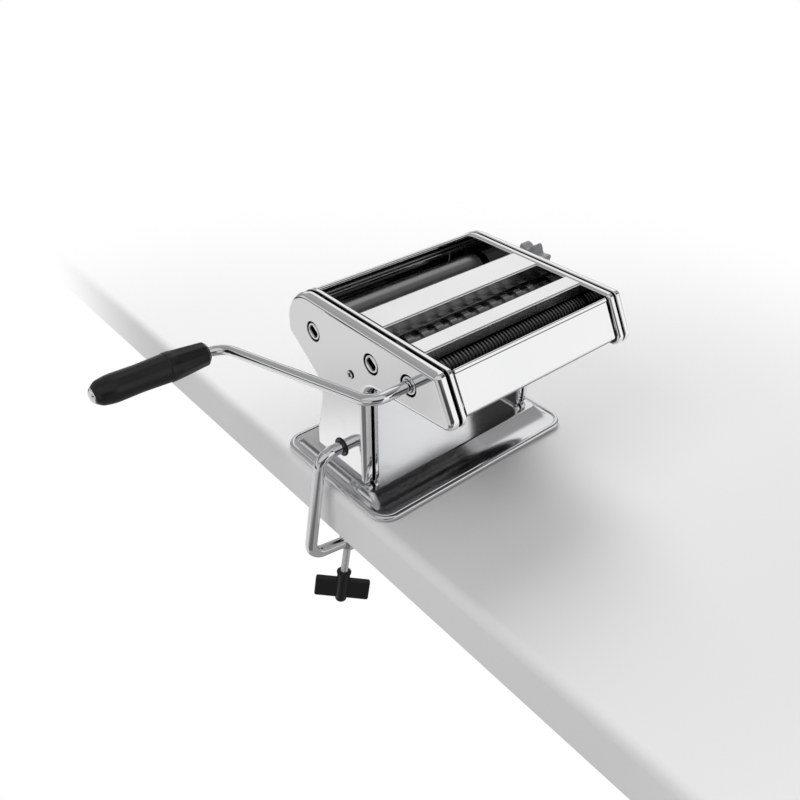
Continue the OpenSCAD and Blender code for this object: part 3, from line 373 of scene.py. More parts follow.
def startFinish(name):
    finish = bpy.data.materials.new(name)
    finish.use_nodes = True
    tree = finish.node_tree
    shader = tree.nodes["Principled BSDF"]
    place = addNode(tree, "ShaderNodeTexCoord")
    return finish, tree, shader, place


# low + value (high - low)
def between(tree, value, low, high):
    made = addNode(tree, "ShaderNodeMapRange", in3=low, in4=high)
    tree.links.new(value, made.inputs[0])
    return made.outputs[0]


def tint(tree, value, low, high):
    made = addNode(tree, "ShaderNodeMix", data_type="RGBA")
    made.inputs["A"].default_value = (*low, 1)
    made.inputs["B"].default_value = (*high, 1)
    tree.links.new(value, made.inputs["Factor"])
    return made.outputs["Result"]


# each height bends the normal that the one before it left
def roughen(tree, shader, heights):
    normal = None
    for height, depth in heights:
        bump = addNode(tree, "ShaderNodeBump")
        bump.inputs["Strength"].default_value = 1.0
        bump.inputs["Distance"].default_value = depth * mm
        tree.links.new(height, bump.inputs["Height"])
        if normal:
            tree.links.new(normal, bump.inputs["Normal"])
        normal = bump.outputs["Normal"]
    tree.links.new(normal, shader.inputs["Normal"])


# a metal: tone mixes two colours, smudges and lines raise the roughness, wave and lines bend the mirror;
# with painted shade, the corners that a piece marks are mixed towards near black, shade painted into the
# colour
def metalFinish(name, low, high, shiny, dull, stretch, lineDepth, waveDepth, smudgeSize=38.0, withPaintedShade=False):
    finish, tree, shader, place = startFinish(name)
    traces = addNode(tree, "ShaderNodeGroup", node_tree=polish)
    traces.inputs["Stretch"].default_value = stretch
    traces.inputs["Smudge Size"].default_value = smudgeSize
    tree.links.new(place.outputs["Object"], traces.inputs["Position"])
    shader.inputs["Metallic"].default_value = 1.0
    colour = tint(tree, traces.outputs["Tone"], low, high)
    # painted shade: the corner attribute shade mixes the colour towards near black
    if withPaintedShade:
        mark = addNode(tree, "ShaderNodeAttribute", attribute_name="shade")
        deep = addNode(tree, "ShaderNodeMix", data_type="RGBA")
        deep.inputs["B"].default_value = (*paintedShadeColour, 1)
        tree.links.new(mark.outputs["Fac"], deep.inputs["Factor"])
        tree.links.new(colour, deep.inputs["A"])
        colour = deep.outputs["Result"]
    tree.links.new(colour, shader.inputs["Base Color"])
    blend = addNode(tree, "ShaderNodeMath", operation="MULTIPLY_ADD", in1=smudgeShare)
    tree.links.new(traces.outputs["Smudge"], blend.inputs[0])
    tree.links.new(between(tree, traces.outputs["Lines"], 0.0, lineShare), blend.inputs[2])
    tree.links.new(between(tree, blend.outputs[0], shiny, dull), shader.inputs["Roughness"])
    roughen(tree, shader, [(traces.outputs["Wave"], waveDepth), (traces.outputs["Lines"], lineDepth)])
    return finish


# a moulded plastic: rubbed patches are paler and shinier, the grain is pressed in
def plasticFinish(name, low, high, shiny, dull, grainSize, grainDepth, gleam):
    finish, tree, shader, place = startFinish(name)
    shader.inputs["Specular IOR Level"].default_value = gleam
    grain = addNode(tree, "ShaderNodeGroup", node_tree=mould)
    grain.inputs["Grain Size"].default_value = grainSize
    tree.links.new(place.outputs["Object"], grain.inputs["Position"])
    tree.links.new(tint(tree, grain.outputs["Rub"], low, high), shader.inputs["Base Color"])
    tree.links.new(between(tree, grain.outputs["Rub"], dull, shiny), shader.inputs["Roughness"])
    roughen(tree, shader, [(grain.outputs["Grain"], grainDepth)])
    return finish


finishes = {
    "chrome": metalFinish("chromedSheet", (0.84, 0.845, 0.85), (0.91, 0.91, 0.915), 0.05, 0.15,
                          (30.0, 260.0, 260.0), 0.0006, 0.03, 38.0, True),
    # painted shade: this steel is coloured dark because the rollers and cutters that wear it sit in shade
    # inside the machine
    "steel": metalFinish("satinSteelPaintedShade", (0.20, 0.20, 0.205), (0.29, 0.29, 0.29), 0.24, 0.4,
                         (60.0, 1500.0, 1500.0), 0.003, 0.01),
    "dark_steel": metalFinish("oiledSteel", (0.06, 0.06, 0.06), (0.11, 0.108, 0.105), 0.3, 0.5,
                              (900.0, 300.0, 300.0), 0.004, 0.01),
    "bronze": metalFinish("sinteredBronze", (0.13, 0.115, 0.09), (0.19, 0.17, 0.135), 0.3, 0.5,
                          (700.0, 700.0, 700.0), 0.006, 0.01),
    "black_plastic": plasticFinish("blackMoulding", (0.006, 0.006, 0.0065), (0.015, 0.015, 0.016), 0.22, 0.36,
                                   1500.0, 0.006, 0.34),
    "grey_plastic": plasticFinish("greyMoulding", (0.20, 0.205, 0.21), (0.29, 0.295, 0.30), 0.2, 0.34,
                                  1500.0, 0.004, 0.6),
    "mirrorRod": metalFinish("chromedRod", (0.74, 0.75, 0.76), (0.88, 0.88, 0.89), 0.04, 0.16,
                             (50.0, 500.0, 500.0), 0.0008, 0.004, 60.0),
    "baseSheet": metalFinish("chromedBase", (0.70, 0.71, 0.72), (0.80, 0.80, 0.81), 0.14, 0.22,
                             (25.0, 200.0, 200.0), 0.0004, 0.02, 30.0),
    "socketSteel": metalFinish("chromedSocket", (0.74, 0.75, 0.76), (0.88, 0.88, 0.89), 0.08, 0.2,
                               (50.0, 500.0, 500.0), 0.0008, 0.004, 60.0, True),
    "guardSheet": metalFinish("satinGuard", (0.84, 0.84, 0.845), (0.90, 0.90, 0.905), 0.2, 0.3,
                              (40.0, 900.0, 900.0), 0.0012, 0.01, 14.0, True),
    "zincScrew": metalFinish("zincScrew", (0.68, 0.685, 0.69), (0.80, 0.80, 0.805), 0.26, 0.4,
                             (300.0, 300.0, 300.0), 0.002, 0.004, 60.0),
}
slotOf = {s["node"]: s["material_slot"] for s in frame["record"]["subparts"]}
for nodeName, nodeObject in nodes.items():
    for held in nodeObject.material_slots:
        held.material = finishes[slotOf[nodeName]]
print("finishes:", len(finishes))

# Side covers and frames
side = {
    "corners": [(-111, 155.5, 5), (-131, 117.7, 7.3), (-33, 109.5, 16), (-33, 11, 5), (34, 11, 5),
                (32.8, 32, 100), (20.8, 81.8, 20), (63.5, 113.7, 8), (63.5, 155.5, 32)],
    # the inner-side and cut-edge amounts are painted shade: the sheet's colour darkens where the inside and
    # the seams lie in shade
    "coverBend": (4.6, 5.2), "coverSheet": 1.0, "frameBend": (2.4, 2.4), "frameSheet": 1.2, "innerPaintedShade": 0.86,
    "edgeRound": 0.85, "holeRound": 0.5, "backRound": 0.15, "fold": 0.1, "bendSteps": 25, "cutEdgePaintedShade": 1.1,
    "driveHole": 8.25, "clampHole": 6.6, "knobHole": 6.0, "bearingHole": 6.1, "socketHole": 7.85,
    "slideHalf": (11.6, 11.1), "slideRound": 0.6, "cutEdgeShare": 0.4,
}
axisAt = {
    "dough": (27.3, 127.2), "gap": (-1.7, 127.2), "wide": (-43.3, 132.0), "widePartner": (-61.3, 132.0),
    "narrow": (-83.9, 134.8), "narrowPartner": (-101.9, 134.8), "clamp": (-3.0, 34.7), "knob": (-8.0, 133.0),
    "coverScrew": (-18.9, 111.4),
}
sideOutline = chain(side["corners"], arcStep=4.0)


# quarter of an ellipse from the flat face to the flange: inset a (1 - sin t), lift face less b (1 - cos t)
def panProfile(face, edge, bend, sheet):
    way, soft, fold = np.sign(face - edge), side["edgeRound"], side["fold"]
    t = np.radians(np.linspace(0, 90, side["bendSteps"]))
    over, down = bend
    outer = np.stack([over * (np.sin(t) - 1), face - way * down * (1 - np.cos(t))], -1)
    slope = unit(np.stack([np.sin(t) / over, way * np.cos(t) / down], -1))
    rest = chain([(0, outer[-1, 1]), (0, edge, soft), (-sheet, edge, fold), (-sheet, face - way * down, fold),
                  (-over, face - way * sheet)], False, (1, 0), 10)
    # painted shade on the cut edge, growing over its share of the edge's rounding
    cutEdge = np.clip(-rest[0][1:, 0] / (side["cutEdgeShare"] * soft), 0, 1)
    marks = np.concatenate([np.zeros(len(outer)), cutEdge])
    return (np.vstack([outer, rest[0][1:]]), np.vstack([slope, rest[1][1:]])), marks


# a pan: the outline bent over at its edge, with flat faces and rolled hole rims; the back and the inner side
# of the flange carry painted shade, and the face and the flange's cut edge carry as much painted shade as
# asked
def pan(face, edge, bend, sheet, holes, paintedEdgeShade, paintedFaceShade):
    way = np.sign(face - edge)
    back = face - way * sheet
    rim, rear = side["holeRound"], side["backRound"]
    profile, marks = panProfile(face, edge, bend, sheet)
    inner = profile[0][:, 0] < -sheet - side["fold"]
    inner &= np.arange(len(inner)) > side["bendSteps"]
    marks = side["innerPaintedShade"] * np.maximum(marks * paintedEdgeShade, inner)
    lip = chain([(rim, face), (0, face, rim), (0, back, rear), (rear, back)], False, (0, way), 15)
    shrunk = sideOutline[0] - bend[0] * sideOutline[1]
    patches = [(*loft(sideOutline, profile), marksOf(np.repeat(marks[:, None], len(sideOutline[0]), 1)))]
    patches += [loft(hole, lip) for hole in holes]
    patches.append(dark(cap([shrunk] + [p + rim * n for p, n in holes], face, way), paintedFaceShade))
    patches.append(dark(cap([shrunk] + [p + rear * n for p, n in holes], back, -way), side["innerPaintedShade"]))
    return patches


def roundHoles(names, r):
    return [circle(axisAt[name], r) for name in names]


slideCorners = [(*(np.array(axisAt["gap"]) + np.array(side["slideHalf"]) * quarter), side["slideRound"])
                for quarter in ((-1, -1), (1, -1), (1, 1), (-1, 1))]
drives = ["dough", "wide", "narrow"]
partnerHoles = roundHoles(["widePartner", "narrowPartner"], side["bearingHole"]) + [chain(slideCorners)]
for name, way in (("left", -1), ("right", 1)):
    low, high = boxOf(name + "_cover")
    face, edge = (low[0], high[0]) if way < 0 else (high[0], low[0])
    holes = roundHoles(drives, side["driveHole"]) + roundHoles(["clamp"], side["clampHole"])
    holes = holes if way < 0 else roundHoles(["knob"], side["knobHole"])
    shell = pan(face, edge, side["coverBend"], side["coverSheet"], holes, 0.0, 0.0)
    addPiece(name + "CoverShell", shell, "body", "chrome", finishes["chrome"], name + "_cover")
    # the frames carry painted shade on their inner face and cut edges, so the seams and the inside read dark
    low, high = boxOf(name + "_frame")
    face, edge = (high[0], low[0]) if way < 0 else (low[0], high[0])
    holes = partnerHoles + roundHoles(drives, side["socketHole" if way < 0 else "bearingHole"])
    shell = pan(face, edge, side["frameBend"], side["frameSheet"], holes, side["cutEdgePaintedShade"],
                side["innerPaintedShade"])
    addPiece(name + "FramePan", shell, "body", "chrome", finishes["chrome"], name + "_frame")
coverFace = boxOf("right_cover")[1][0]
print("side covers and frames")

# Base: flat top, cove with a wide apron in front, ledge and rolled rim
base = {"corner": 16.0, "sheet": 1.0, "bead": 2.5, "lift": 0.8, "coveWidth": 4.5, "apron": 16.5, "rimIn": 6.8,
        "ledge": 4.6, "edgeSoft": 0.05, "beadEnd": -62.0}


# cove height: a slope that starts within edgeSoft of the flat top's edge and runs out evenly at the ledge
def basePlate():
    low, high = boxOf("base_plate")
    spots = ((high[0], high[1]), (low[0], high[1]), (low[0], low[1]), (high[0], low[1]))
    outline = chain([(*spot, base["corner"]) for spot in spots], arcStep=4.0)
    top, beadZ, beadR, soft = high[2], base["lift"] + base["bead"], base["bead"], base["edgeSoft"]
    t = np.concatenate([np.linspace(-soft, soft, 9), np.linspace(soft, 1, 40)[1:]])
    slope = (1 - t) * np.clip((t + soft) / (2 * soft), 0, 1)
    drop = np.concatenate([[0], np.cumsum((slope[1:] + slope[:-1]) / 2 * np.diff(t))])
    z = top - (top - base["ledge"]) * drop / drop[-1]
    spots = outline[0][None] - (base["rimIn"] + base["coveWidth"] * (1 - t))[:, None, None] * outline[1][None]
    spots[..., 1] += base["apron"] * (1 - t)[:, None] * (outline[0][None, :, 1] < 0)
    cove = np.concatenate([spots, np.broadcast_to(z[:, None, None], spots.shape[:2] + (1,))], -1)
    first = math.pi - math.asin((base["ledge"] - beadZ) / beadR)
    a = np.linspace(first, math.radians(base["beadEnd"]), 40)
    outward = np.stack([np.cos(a), np.sin(a)], -1)
    bead = (np.array([-beadR, beadZ]) + beadR * outward, outward)
    ledge = (np.array([[-base["rimIn"], base["ledge"]], bead[0][0]]), np.array([[0.0, 1.0], [0.0, 1.0]]))
    under = [(p - base["sheet"] * n, -n) for p, n in (ledge, bead)]
    join = curve([under[0][0][-1], under[1][0][0]], (0, -1))
    hem = curve([bead[0][-1], under[1][0][-1]], (0, -1))
    below = cove - np.array([0.0, 0.0, base["sheet"]])
    patches = [loft(outline, k, baseAxes) for k in [ledge, bead, join, hem] + under]
    far = np.array([0.0, 0.0, 4 * high[0]])
    patches += [surface(cove, True, -far), surface(below, True, far)]
    patches.append(cap([cove[0, :, :2]], top, 1, baseAxes))
    return patches + [cap([below[0, :, :2]], top - base["sheet"], -1, baseAxes)]


addPiece("baseShell", basePlate(), "body", "chrome", finishes["baseSheet"], "base_plate")
print("base")

# Panels and guards
# the inner amount and the hem's span are painted shade: the colour darkens behind the sheets and in a line
# under the front panel's hem
panels = {"sheet": 1.2, "innerPaintedShade": 0.86, "innerFrom": 0.6,
          "top": 0.4, "height": 33.0, "lip": 4.0, "bend": 2.4, "foldIn": 0.4, "edgeRound": 0.5,
          "hem": 3.0, "hemProud": 0.7, "hemTop": 0.9, "hemFoot": 0.55, "hemStep": 0.35, "stepRound": 0.25,
          "hemShade": (-0.15, 0.6), "flatFrom": 1.0,
          "rearArc": 72.0, "rearR": 31.95, "rearMiddle": (31.5, 123.5), "rearTail": 8.8, "rearBead": 1.5,
          "seat": 0.45}
guards = {"roller_guard": {"drops": (12.0, 12.15), "rounds": (7.0, 1.8)},
          "cutter_guard": {"drops": (12.15, 9.35), "rounds": (1.8, 1.8)},
          "edgeRound": 0.4, "leastBend": 0.3}


# a leaning sheet drawn down its lean and into its depth: a proud hem, a flat, a lip bent under; painted shade
# behind it and in a line under the hem
def frontPanel():
    low, high = boxOf("front_panel")
    start, nose = np.array(side["corners"][0][:2]), np.array(side["corners"][1][:2])
    lean = unit(nose - start)
    inward = np.array([-lean[1], lean[0]])
    t, proud, hem = panels["sheet"], panels["hemProud"], panels["hem"]
    h, lip, top, edge = panels["height"], panels["lip"], panels["top"], panels["edgeRound"]
    places = [(top, -proud, panels["hemTop"]), (hem, -proud, panels["hemFoot"]),
              (hem + panels["hemStep"], 0, panels["stepRound"]), (hem + panels["flatFrom"], 0),
              (h, 0, panels["bend"]), (h, lip, edge), (h - t, lip, edge), (h - t, t, panels["foldIn"]),
              (top, t, panels["hemTop"])]
    corners = [(*(start + k[0] * lean + k[1] * inward), *k[2:]) for k in places]

    def behindOrUnderHem(spots):
        away = spots[..., 1:] - start
        down, behind = away @ lean, away @ inward > panels["innerFrom"] * t
        under = (down > hem + panels["hemShade"][0]) & (down < hem + panels["hemShade"][1])
        return behind | under
    return [dark(k, panels["innerPaintedShade"], behindOrUnderHem) for k in extruded(chain(corners), low[0], high[0])]


# an arc about a middle with a straight tail below it, as thick as the sheet, and a bead along its upper edge
def rearPanel():
    reach = boxOf("right_frame")[0][0] + panels["seat"]
    middle, r, t = np.array(panels["rearMiddle"]), panels["rearR"], panels["sheet"]
    a = np.radians(np.linspace(0, panels["rearArc"], 41))
    n = np.stack([np.cos(a), np.sin(a)], -1)
    tail = np.array([0.0, -panels["rearTail"]])
    tailSpots, tailNormals = middle + np.array([[r, 0.0]]) + tail, np.array([[1.0, 0.0]])
    outer = np.vstack([tailSpots, middle + r * n]), np.vstack([tailNormals, n])
    inner = (outer[0] - t * outer[1])[::-1], -outer[1][::-1]
    points = np.vstack([outer[0], inner[0]])
    wall = upright(-reach, reach)
    # painted shade on the rear panel's inner side
    patches = [loft(outer, wall), dark(loft(inner, wall), panels["innerPaintedShade"])]
    for ends in ((outer, inner), (inner, outer)):
        edge = np.stack([ends[0][0][-1], ends[1][0][0]])
        patches.append(loft(curve(edge, (edge[0] + edge[1]) / 2 - points.mean(0)), wall))
    patches += [cap([points], -reach, -1), cap([points], reach, 1)]
    bead = middle + (r - panels["rearBead"]) * n[-1]
    return patches + extruded(circle(bead, panels["rearBead"], 48), -reach, reach)


# a channel drawn in Y and Z: a flat top with a leg bent down at the rear and at the front; painted shade
# within
def guard(node):
    low, high = boxOf(node)
    t, soft, least = panels["sheet"], guards["edgeRound"], guards["leastBend"]
    rearDrop, frontDrop = guards[node]["drops"]
    rearRound, frontRound = guards[node]["rounds"]
    rear, front, top = high[1], low[1], high[2]
    corners = [(rear, top - rearDrop, soft), (rear, top, rearRound), (front, top, frontRound),
               (front, top - frontDrop, soft), (front + t, top - frontDrop, soft),
               (front + t, top - t, max(frontRound - t, least)),
               (rear - t, top - t, max(rearRound - t, least)), (rear - t, top - rearDrop, soft)]

    def within(spots):
        y, z, past = spots[..., 1], spots[..., 2], panels["innerFrom"] * t
        return (y > front + past) & (y < rear - past) & (z < top - past)
    return [dark(k, panels["innerPaintedShade"], within) for k in extruded(chain(corners), low[0], high[0])]


addPiece("frontPanelSheet", frontPanel(), "body", "chrome", finishes["chrome"], "front_panel")
addPiece("rearPanelSheet", rearPanel(), "body", "chrome", finishes["chrome"], "rear_panel")
addPiece("rollerGuardSheet", guard("roller_guard"), "body", "chrome", finishes["guardSheet"], "roller_guard")
addPiece("cutterGuardSheet", guard("cutter_guard"), "body", "chrome", finishes["guardSheet"], "cutter_guard")
print("panels and guards")


# path of straight runs and bends in a plane, with the way of travel at each point
def bentPath(corners, origin, across, along):
    flat, right = chain(corners, False, None, 3.0)
    plane = np.array([across, along], float)
    return np.asarray(origin, float) + flat @ plane, -rightOf(right) @ plane


# rod with softly rounded ends: the last points step back while the radius shrinks along a quarter circle
def rod(corners, origin, across, along, radius, endRound=0.8):
    path, way = bentPath(corners, origin, across, along)
    steps = 7
    a = np.linspace(0, np.pi / 2, steps)
    shrink = radius - endRound + endRound * np.cos(a)
    back = endRound * np.sin(a)
    head = path[0] + way[0] * (endRound - back[::-1, None])
    tail = path[-1] - way[-1] * (endRound - back[:, None])
    path = np.vstack([path[:1], head, path[1:-1], tail, path[-1:]])
    way = np.vstack([np.repeat(way[:1], steps + 1, 0), way[1:-1], np.repeat(way[-1:], steps + 1, 0)])
    r = np.concatenate([[0], shrink[::-1], np.full(len(path) - 2 * steps - 2, radius), shrink, [0]])
    return tube(path, way, np.cross(across, along), r)


# Crank
crank = {"turn": -9.6, "r": 4.1, "bend": 13.0, "gripBend": 17.0, "first": coverFace + 31.0,
         "second": coverFace + 49.0, "throw": 170.0, "endRound": 0.6, "tipStart": coverFace - 0.1,
         "tipSunk": 0.5, "tipEnd": -boxOf("crank_rod")[1][0], "tipLong": 9.0, "tipThin": 5.8, "tipTurn": 35.0}
gripLength = 92.0
grip = {"start": -boxOf("crank_grip")[1][0], "bore": 4.25, "sides": 10, "sharp": 90, "facetsEnd": 30.5,
        "facetsFade": 7.0, "boreEdge": 0.15,
        "outside": [  # radius, distance along the grip, rounding
            (7.2, 0, 0.4), (9.5, 2.5, 1.2), (12.0, 31, 3.0), (12.0, 34.2, 1.0), (11.55, 34.9, 0.5),
            (10.8, 57, 60), (11.2, 79, 40), (9.6, 88, 8), (6.6, gripLength, 1.5)],
        "endCap": [  # radius, distance past the grip, rounding
            (0, 0.3), (6.0, 0.3, 0.2), (6.0, 1.1, 0.5), (4.2, 2.3, 1.2), (0, 2.68)]}
crankUp = np.array([0, math.cos(math.radians(crank["turn"])), math.sin(math.radians(crank["turn"]))])
crankAxis = np.array([0.0, *axisAt["narrow"]])


# flat-sided bar: the lesser of a circle's radius and a flat's distance at each angle
def flatSided(long, thin, soften=24.0):
    def radius(a):
        flatAway = thin / 2 / np.maximum(np.abs(np.sin(a)), 1e-6)
        return (flatAway ** -soften + (long / 2) ** -soften) ** (-1 / soften)
    return polarCurve(radius, 160)


# side axes turned about X
def turnedAxes(degrees):
    a = math.radians(degrees)
    return ((0, math.cos(a), math.sin(a)), (0, -math.sin(a), math.cos(a)), (1, 0, 0))


# a round rod with two bends, and a flat-sided tip in the socket
def crankRod():
    end = -grip["start"] - gripLength
    corners = [(-crank["tipStart"], 0), (-crank["first"], 0, crank["bend"]),
               (-crank["second"], crank["throw"], crank["gripBend"]), (end, crank["throw"])]
    bar = rod(corners, crankAxis, (1, 0, 0), crankUp, crank["r"], crank["endRound"])
    tip = flatSided(crank["tipLong"], crank["tipThin"])
    low, high = -crank["tipStart"] - crank["tipSunk"], -crank["tipEnd"]
    return [bar] + extruded(tip, low, high, turnedAxes(crank["tipTurn"]), crankAxis)


# grip: radius from its profile, times a many-sided section near the rod that eases into a round one;
# the section's radius is one over the soft greatest of the cosines to its sides
def crankGrip(axes, origin):
    bore, sides, sharp = grip["bore"], grip["sides"], grip["sharp"]
    corners = [(bore, gripLength), (bore, 0)] + grip["outside"] + [(bore, gripLength)]
    profile = fill(chain(corners, False, None, 3.0)[0], 0.8)
    r, u = profile[:, 0], profile[:, 1]
    a = np.linspace(0, 2 * np.pi, 241)
    peaks = np.maximum(np.cos(a[:, None] - 2 * np.pi * np.arange(sides) / sides), 0) ** sharp
    section = peaks.sum(1) ** (-1 / sharp) * math.cos(math.pi / sides) ** 0.5
    outer = r > bore + grip["boreEdge"]
    ease = np.clip((grip["facetsEnd"] - u) / grip["facetsFade"], 0, 1) * outer
    radius = r[:, None] * (1 + smooth(ease)[:, None] * (section[None] - 1))
    points = put(axes, radius * np.cos(a), radius * np.sin(a), u[:, None], origin)
    points[:, -1] = points[:, 0]
    return [surface(points, True, put(axes, 0, 0, u[:, None], origin))]


# a turned button with a flat back
def gripCap(axes, origin):
    corners = [(k[0], gripLength + k[1], *k[2:]) for k in grip["endCap"]]
    return [lathe(chain(corners, False, (0, -1), 10), axes, origin, 64)]


gripAxes = (crankUp, np.cross((-1, 0, 0), crankUp), (-1, 0, 0))
gripOrigin = crankAxis + crank["throw"] * crankUp + np.array([-grip["start"], 0, 0])
addPiece("crankRodBar", crankRod(), "crank", "chrome", finishes["mirrorRod"], "crank_rod")
moulding = crankGrip(gripAxes, gripOrigin)
addPiece("crankGripMoulding", moulding, "grip", "black_plastic", finishes["black_plastic"], "crank_grip")
addPiece("gripEndCap", gripCap(gripAxes, gripOrigin), "crank", "chrome", finishes["mirrorRod"], "grip_cap")
print("crank")

# Drive sockets
socket = {"ring": 6.75, "stub": 5.75, "depth": 21.0, "long": 9.2, "thin": 6.0, "turn": 35.0,
          "face": 0.4 - coverFace, "back": 0.2 - boxOf("dough_gear")[0][0], "rim": 0.6, "backRound": 0.2,
          "stubRound": 0.3, "chamfer": 0.7, "mouthPaintedShade": 0.7}


# a turned ring and stub, with a flat-sided well whose mouth is chamfered; the well's mouth, wall and floor
# carry painted shade
def driveSocket(node, at):
    low, high = boxOf(node)
    axes, origin = turnedAxes(socket["turn"]), np.array([0.0, *at])
    end, floor, back = socket["face"], low[0] + socket["depth"], -socket["back"]
    ring, stub, rim, chamfer = socket["ring"], socket["stub"], socket["rim"], socket["chamfer"]
    outside = chain([(ring - rim, end), (ring, end, rim), (ring, back, socket["backRound"]),
                     (stub, back, socket["backRound"]), (stub, high[0], socket["stubRound"]), (0, high[0])],
                    False, (0, -1), 12)
    well = flatSided(socket["long"], socket["thin"])
    mouth = chain([(chamfer, end), (0.0, end + chamfer)], False, (0, -1), 15)
    wall = curve([(0.0, end + chamfer), (0.0, floor)], (-1, 0))
    face = [circle((0, 0), ring - rim)[0], well[0] + chamfer * well[1]]
    return [lathe(outside, axes, origin), dark(loft(well, mouth, axes, origin), socket["mouthPaintedShade"]),
            dark(loft(well, wall, axes, origin)), cap(face, end, -1, axes, origin),
            dark(cap([well[0]], floor, -1, axes, origin))]


for node, body, spot in (("dough_socket", "dough_drive", "dough"), ("wide_socket", "wide_drive", "wide"),
                         ("narrow_socket", "narrow_drive", "narrow")):
    ring = driveSocket(node, axisAt[spot])
    addPiece(spot + "SocketRing", ring, body, "chrome", finishes["socketSteel"], node)

# Cover screws: domed heads with a cross recess
screw = {"r": 3.5, "height": 1.2, "edge": 0.7, "cross": 2.6, "arm": 0.75, "deep": 0.9, "turn": 20.0,
         "taper": 0.3, "widen": 1.15, "armSoft": 0.05, "armEnd": 0.8, "off": 0.02, "rim": 0.7, "rimSoft": 0.3,
         "rimPaintedShade": 0.8}


# head height = dome minus a recess that falls off across both arms of the cross
def screwHead(way):
    r = np.append(np.linspace(0, screw["r"] - leastRound, 60), screw["r"])[:, None]
    a = np.linspace(0, 2 * np.pi, 145)[None]
    x, y = r * np.cos(a), r * np.sin(a)
    crown = np.sqrt(np.maximum(1 - (r / screw["r"]) ** 2, 0))
    dome = screw["edge"] + (screw["height"] - screw["edge"]) * crown

    def armOf(p, q):
        half = screw["arm"] * (screw["widen"] - screw["taper"] * np.abs(q) / screw["cross"])
        wide = 1 / (1 + np.exp((np.abs(p) - half) / screw["armSoft"]))
        return wide * np.clip((screw["cross"] - np.abs(q)) / screw["armEnd"], 0, 1)
    turned = math.radians(screw["turn"])
    p, q = x * math.cos(turned) + y * math.sin(turned), y * math.cos(turned) - x * math.sin(turned)
    recess = np.maximum(armOf(p, q), armOf(q, p))
    lift = dome - screw["deep"] * recess
    origin = np.array([way * (coverFace + screw["off"]), *axisAt["coverScrew"]])
    axes = ((0, 1, 0), (0, 0, 1), (way, 0, 0))
    points = put(axes, x, y, lift, origin)
    points[:, -1] = points[:, 0]
    rim = put(axes, x[-1], y[-1], np.zeros(x.shape[1]), origin)
    rim[-1] = rim[0]
    wall = np.stack([points[-1], rim])
    outward = np.broadcast_to(unit(rim - origin), wall.shape)
    inward = np.array([-way, 0.0, 0.0])
    head = surface(points, True, origin + 20 * inward)
    # painted shade: the cross recess, a ring at the head's edge and the side wall are darkened in the colour
    edgeShade = np.clip((r - screw["r"] + screw["rim"]) / screw["rimSoft"], 0, 1)
    marks = marksOf(np.maximum(recess, screw["rimPaintedShade"] * edgeShade))
    return [(*head, marks), dark((cells(wall), cells(outward))), fan(rim, origin, inward)]


screwHeads = screwHead(-1) + screwHead(1)
addPiece("coverScrewHeads", screwHeads, "body", "chrome", finishes["socketSteel"], "cover_screws")
print("sockets and screws")

# Clamp
clamp = {"r": 5.0, "bend": 13.0, "start": 5.0 - boxOf("left_frame")[1][0], "out": coverFace + 20.9,
         "lean": 10.0, "leg": 98.8, "reach": 40.4, "endRound": 0.8, "sunk": 5.0, "eyeR": 8.0,
         "eyeHeight": 13.0, "eyeFillet": 3.2, "bore": 3.35, "boreEdge": 0.6, "boreRound": 0.2}
bolt = {"r": 3.3, "low": -47.0, "seat": 2.3, "pitch": 1.5, "deep": 0.34, "plainTop": 2.6, "plainFoot": -34.0,
        "steep": 1.3, "crest": 0.15}
pad = {"r": 9.0, "thick": 5.0, "top": 21.0, "play": 0.1, "well": 2.5, "topRound": 0.8, "footRound": 1.6,
       "lipRound": 0.3}
grommet = {"play": 0.05,
           "section": [  # distance from the rod, distance in from the cover's face, rounding
               (0, 2.6), (0, -1.2, 0.35), (2.9, -1.2, 0.9), (3.0, -0.05, 0.1), (1.5, -0.05, 0.1),
               (1.5, 1.05, 0.1), (2.6, 1.05, 0.2), (2.0, 2.6, 0.3), (0, 2.6)]}
wing = {"hubR": 5.75, "hubTop": -35.0, "hubLength": 33.0, "span": 49.0, "height": 20.0, "thick": 6.0,
        "turn": -40.0, "corner": 2.0, "edge": 1.5, "edgeRound": 1.2, "below": 2.0, "bore": 3.4,
        "boreDepth": 12.0, "mouthRound": 0.2, "floorRound": 0.1,
        "hubOutside": [  # distance past the hub's radius, distance down from its top, rounding
            (-0.6, 33.0, 2.6), (0.0, 8.0, 30.0), (0.1, 1.6, 0.3), (0.8, 1.4, 0.2), (0.8, 0.0, 0.4)]}
leanAngle = math.radians(clamp["lean"])
legWay = np.array([-math.sin(leanAngle), -math.cos(leanAngle)])
armWay = np.array([math.cos(leanAngle), -math.sin(leanAngle)])
clampLow = np.array([-clamp["out"], 0.0]) + clamp["leg"] * legWay
clampEye = clampLow + clamp["reach"] * armWay
clampOrigin = np.array([0.0, *axisAt["clamp"]])
eyeAt = clampOrigin + np.array([clampEye[0], 0.0, clampEye[1]])
screwWay = np.array([math.sin(leanAngle), 0.0, math.cos(leanAngle)])
screwAxes = (np.array([math.cos(leanAngle), 0.0, -math.sin(leanAngle)]), np.array([0.0, 1.0, 0.0]), screwWay)


# a round rod with two bends that ends in a turned eye
def clampRod():
    stop = clampEye - armWay * clamp["sunk"]
    bend = clamp["bend"]
    corners = [(-clamp["start"], 0), (-clamp["out"], 0, bend), (*clampLow, bend), tuple(stop)]
    r, half, fillet = clamp["eyeR"], clamp["eyeHeight"] / 2, clamp["eyeFillet"]
    bore, edge, soft = clamp["bore"], clamp["boreEdge"], clamp["boreRound"]
    eye = chain([(bore, -half + edge), (bore + edge, -half, soft), (r, -half, fillet), (r, half, fillet),
                 (bore + edge, half, soft), (bore, half - edge, soft), (bore, -half + edge)],
                False, (0, -1), 10)
    bar = rod(corners, clampOrigin, (1, 0, 0), (0, 0, 1), clamp["r"], clamp["endRound"])
    return [bar, lathe(eye, screwAxes, eyeAt)]


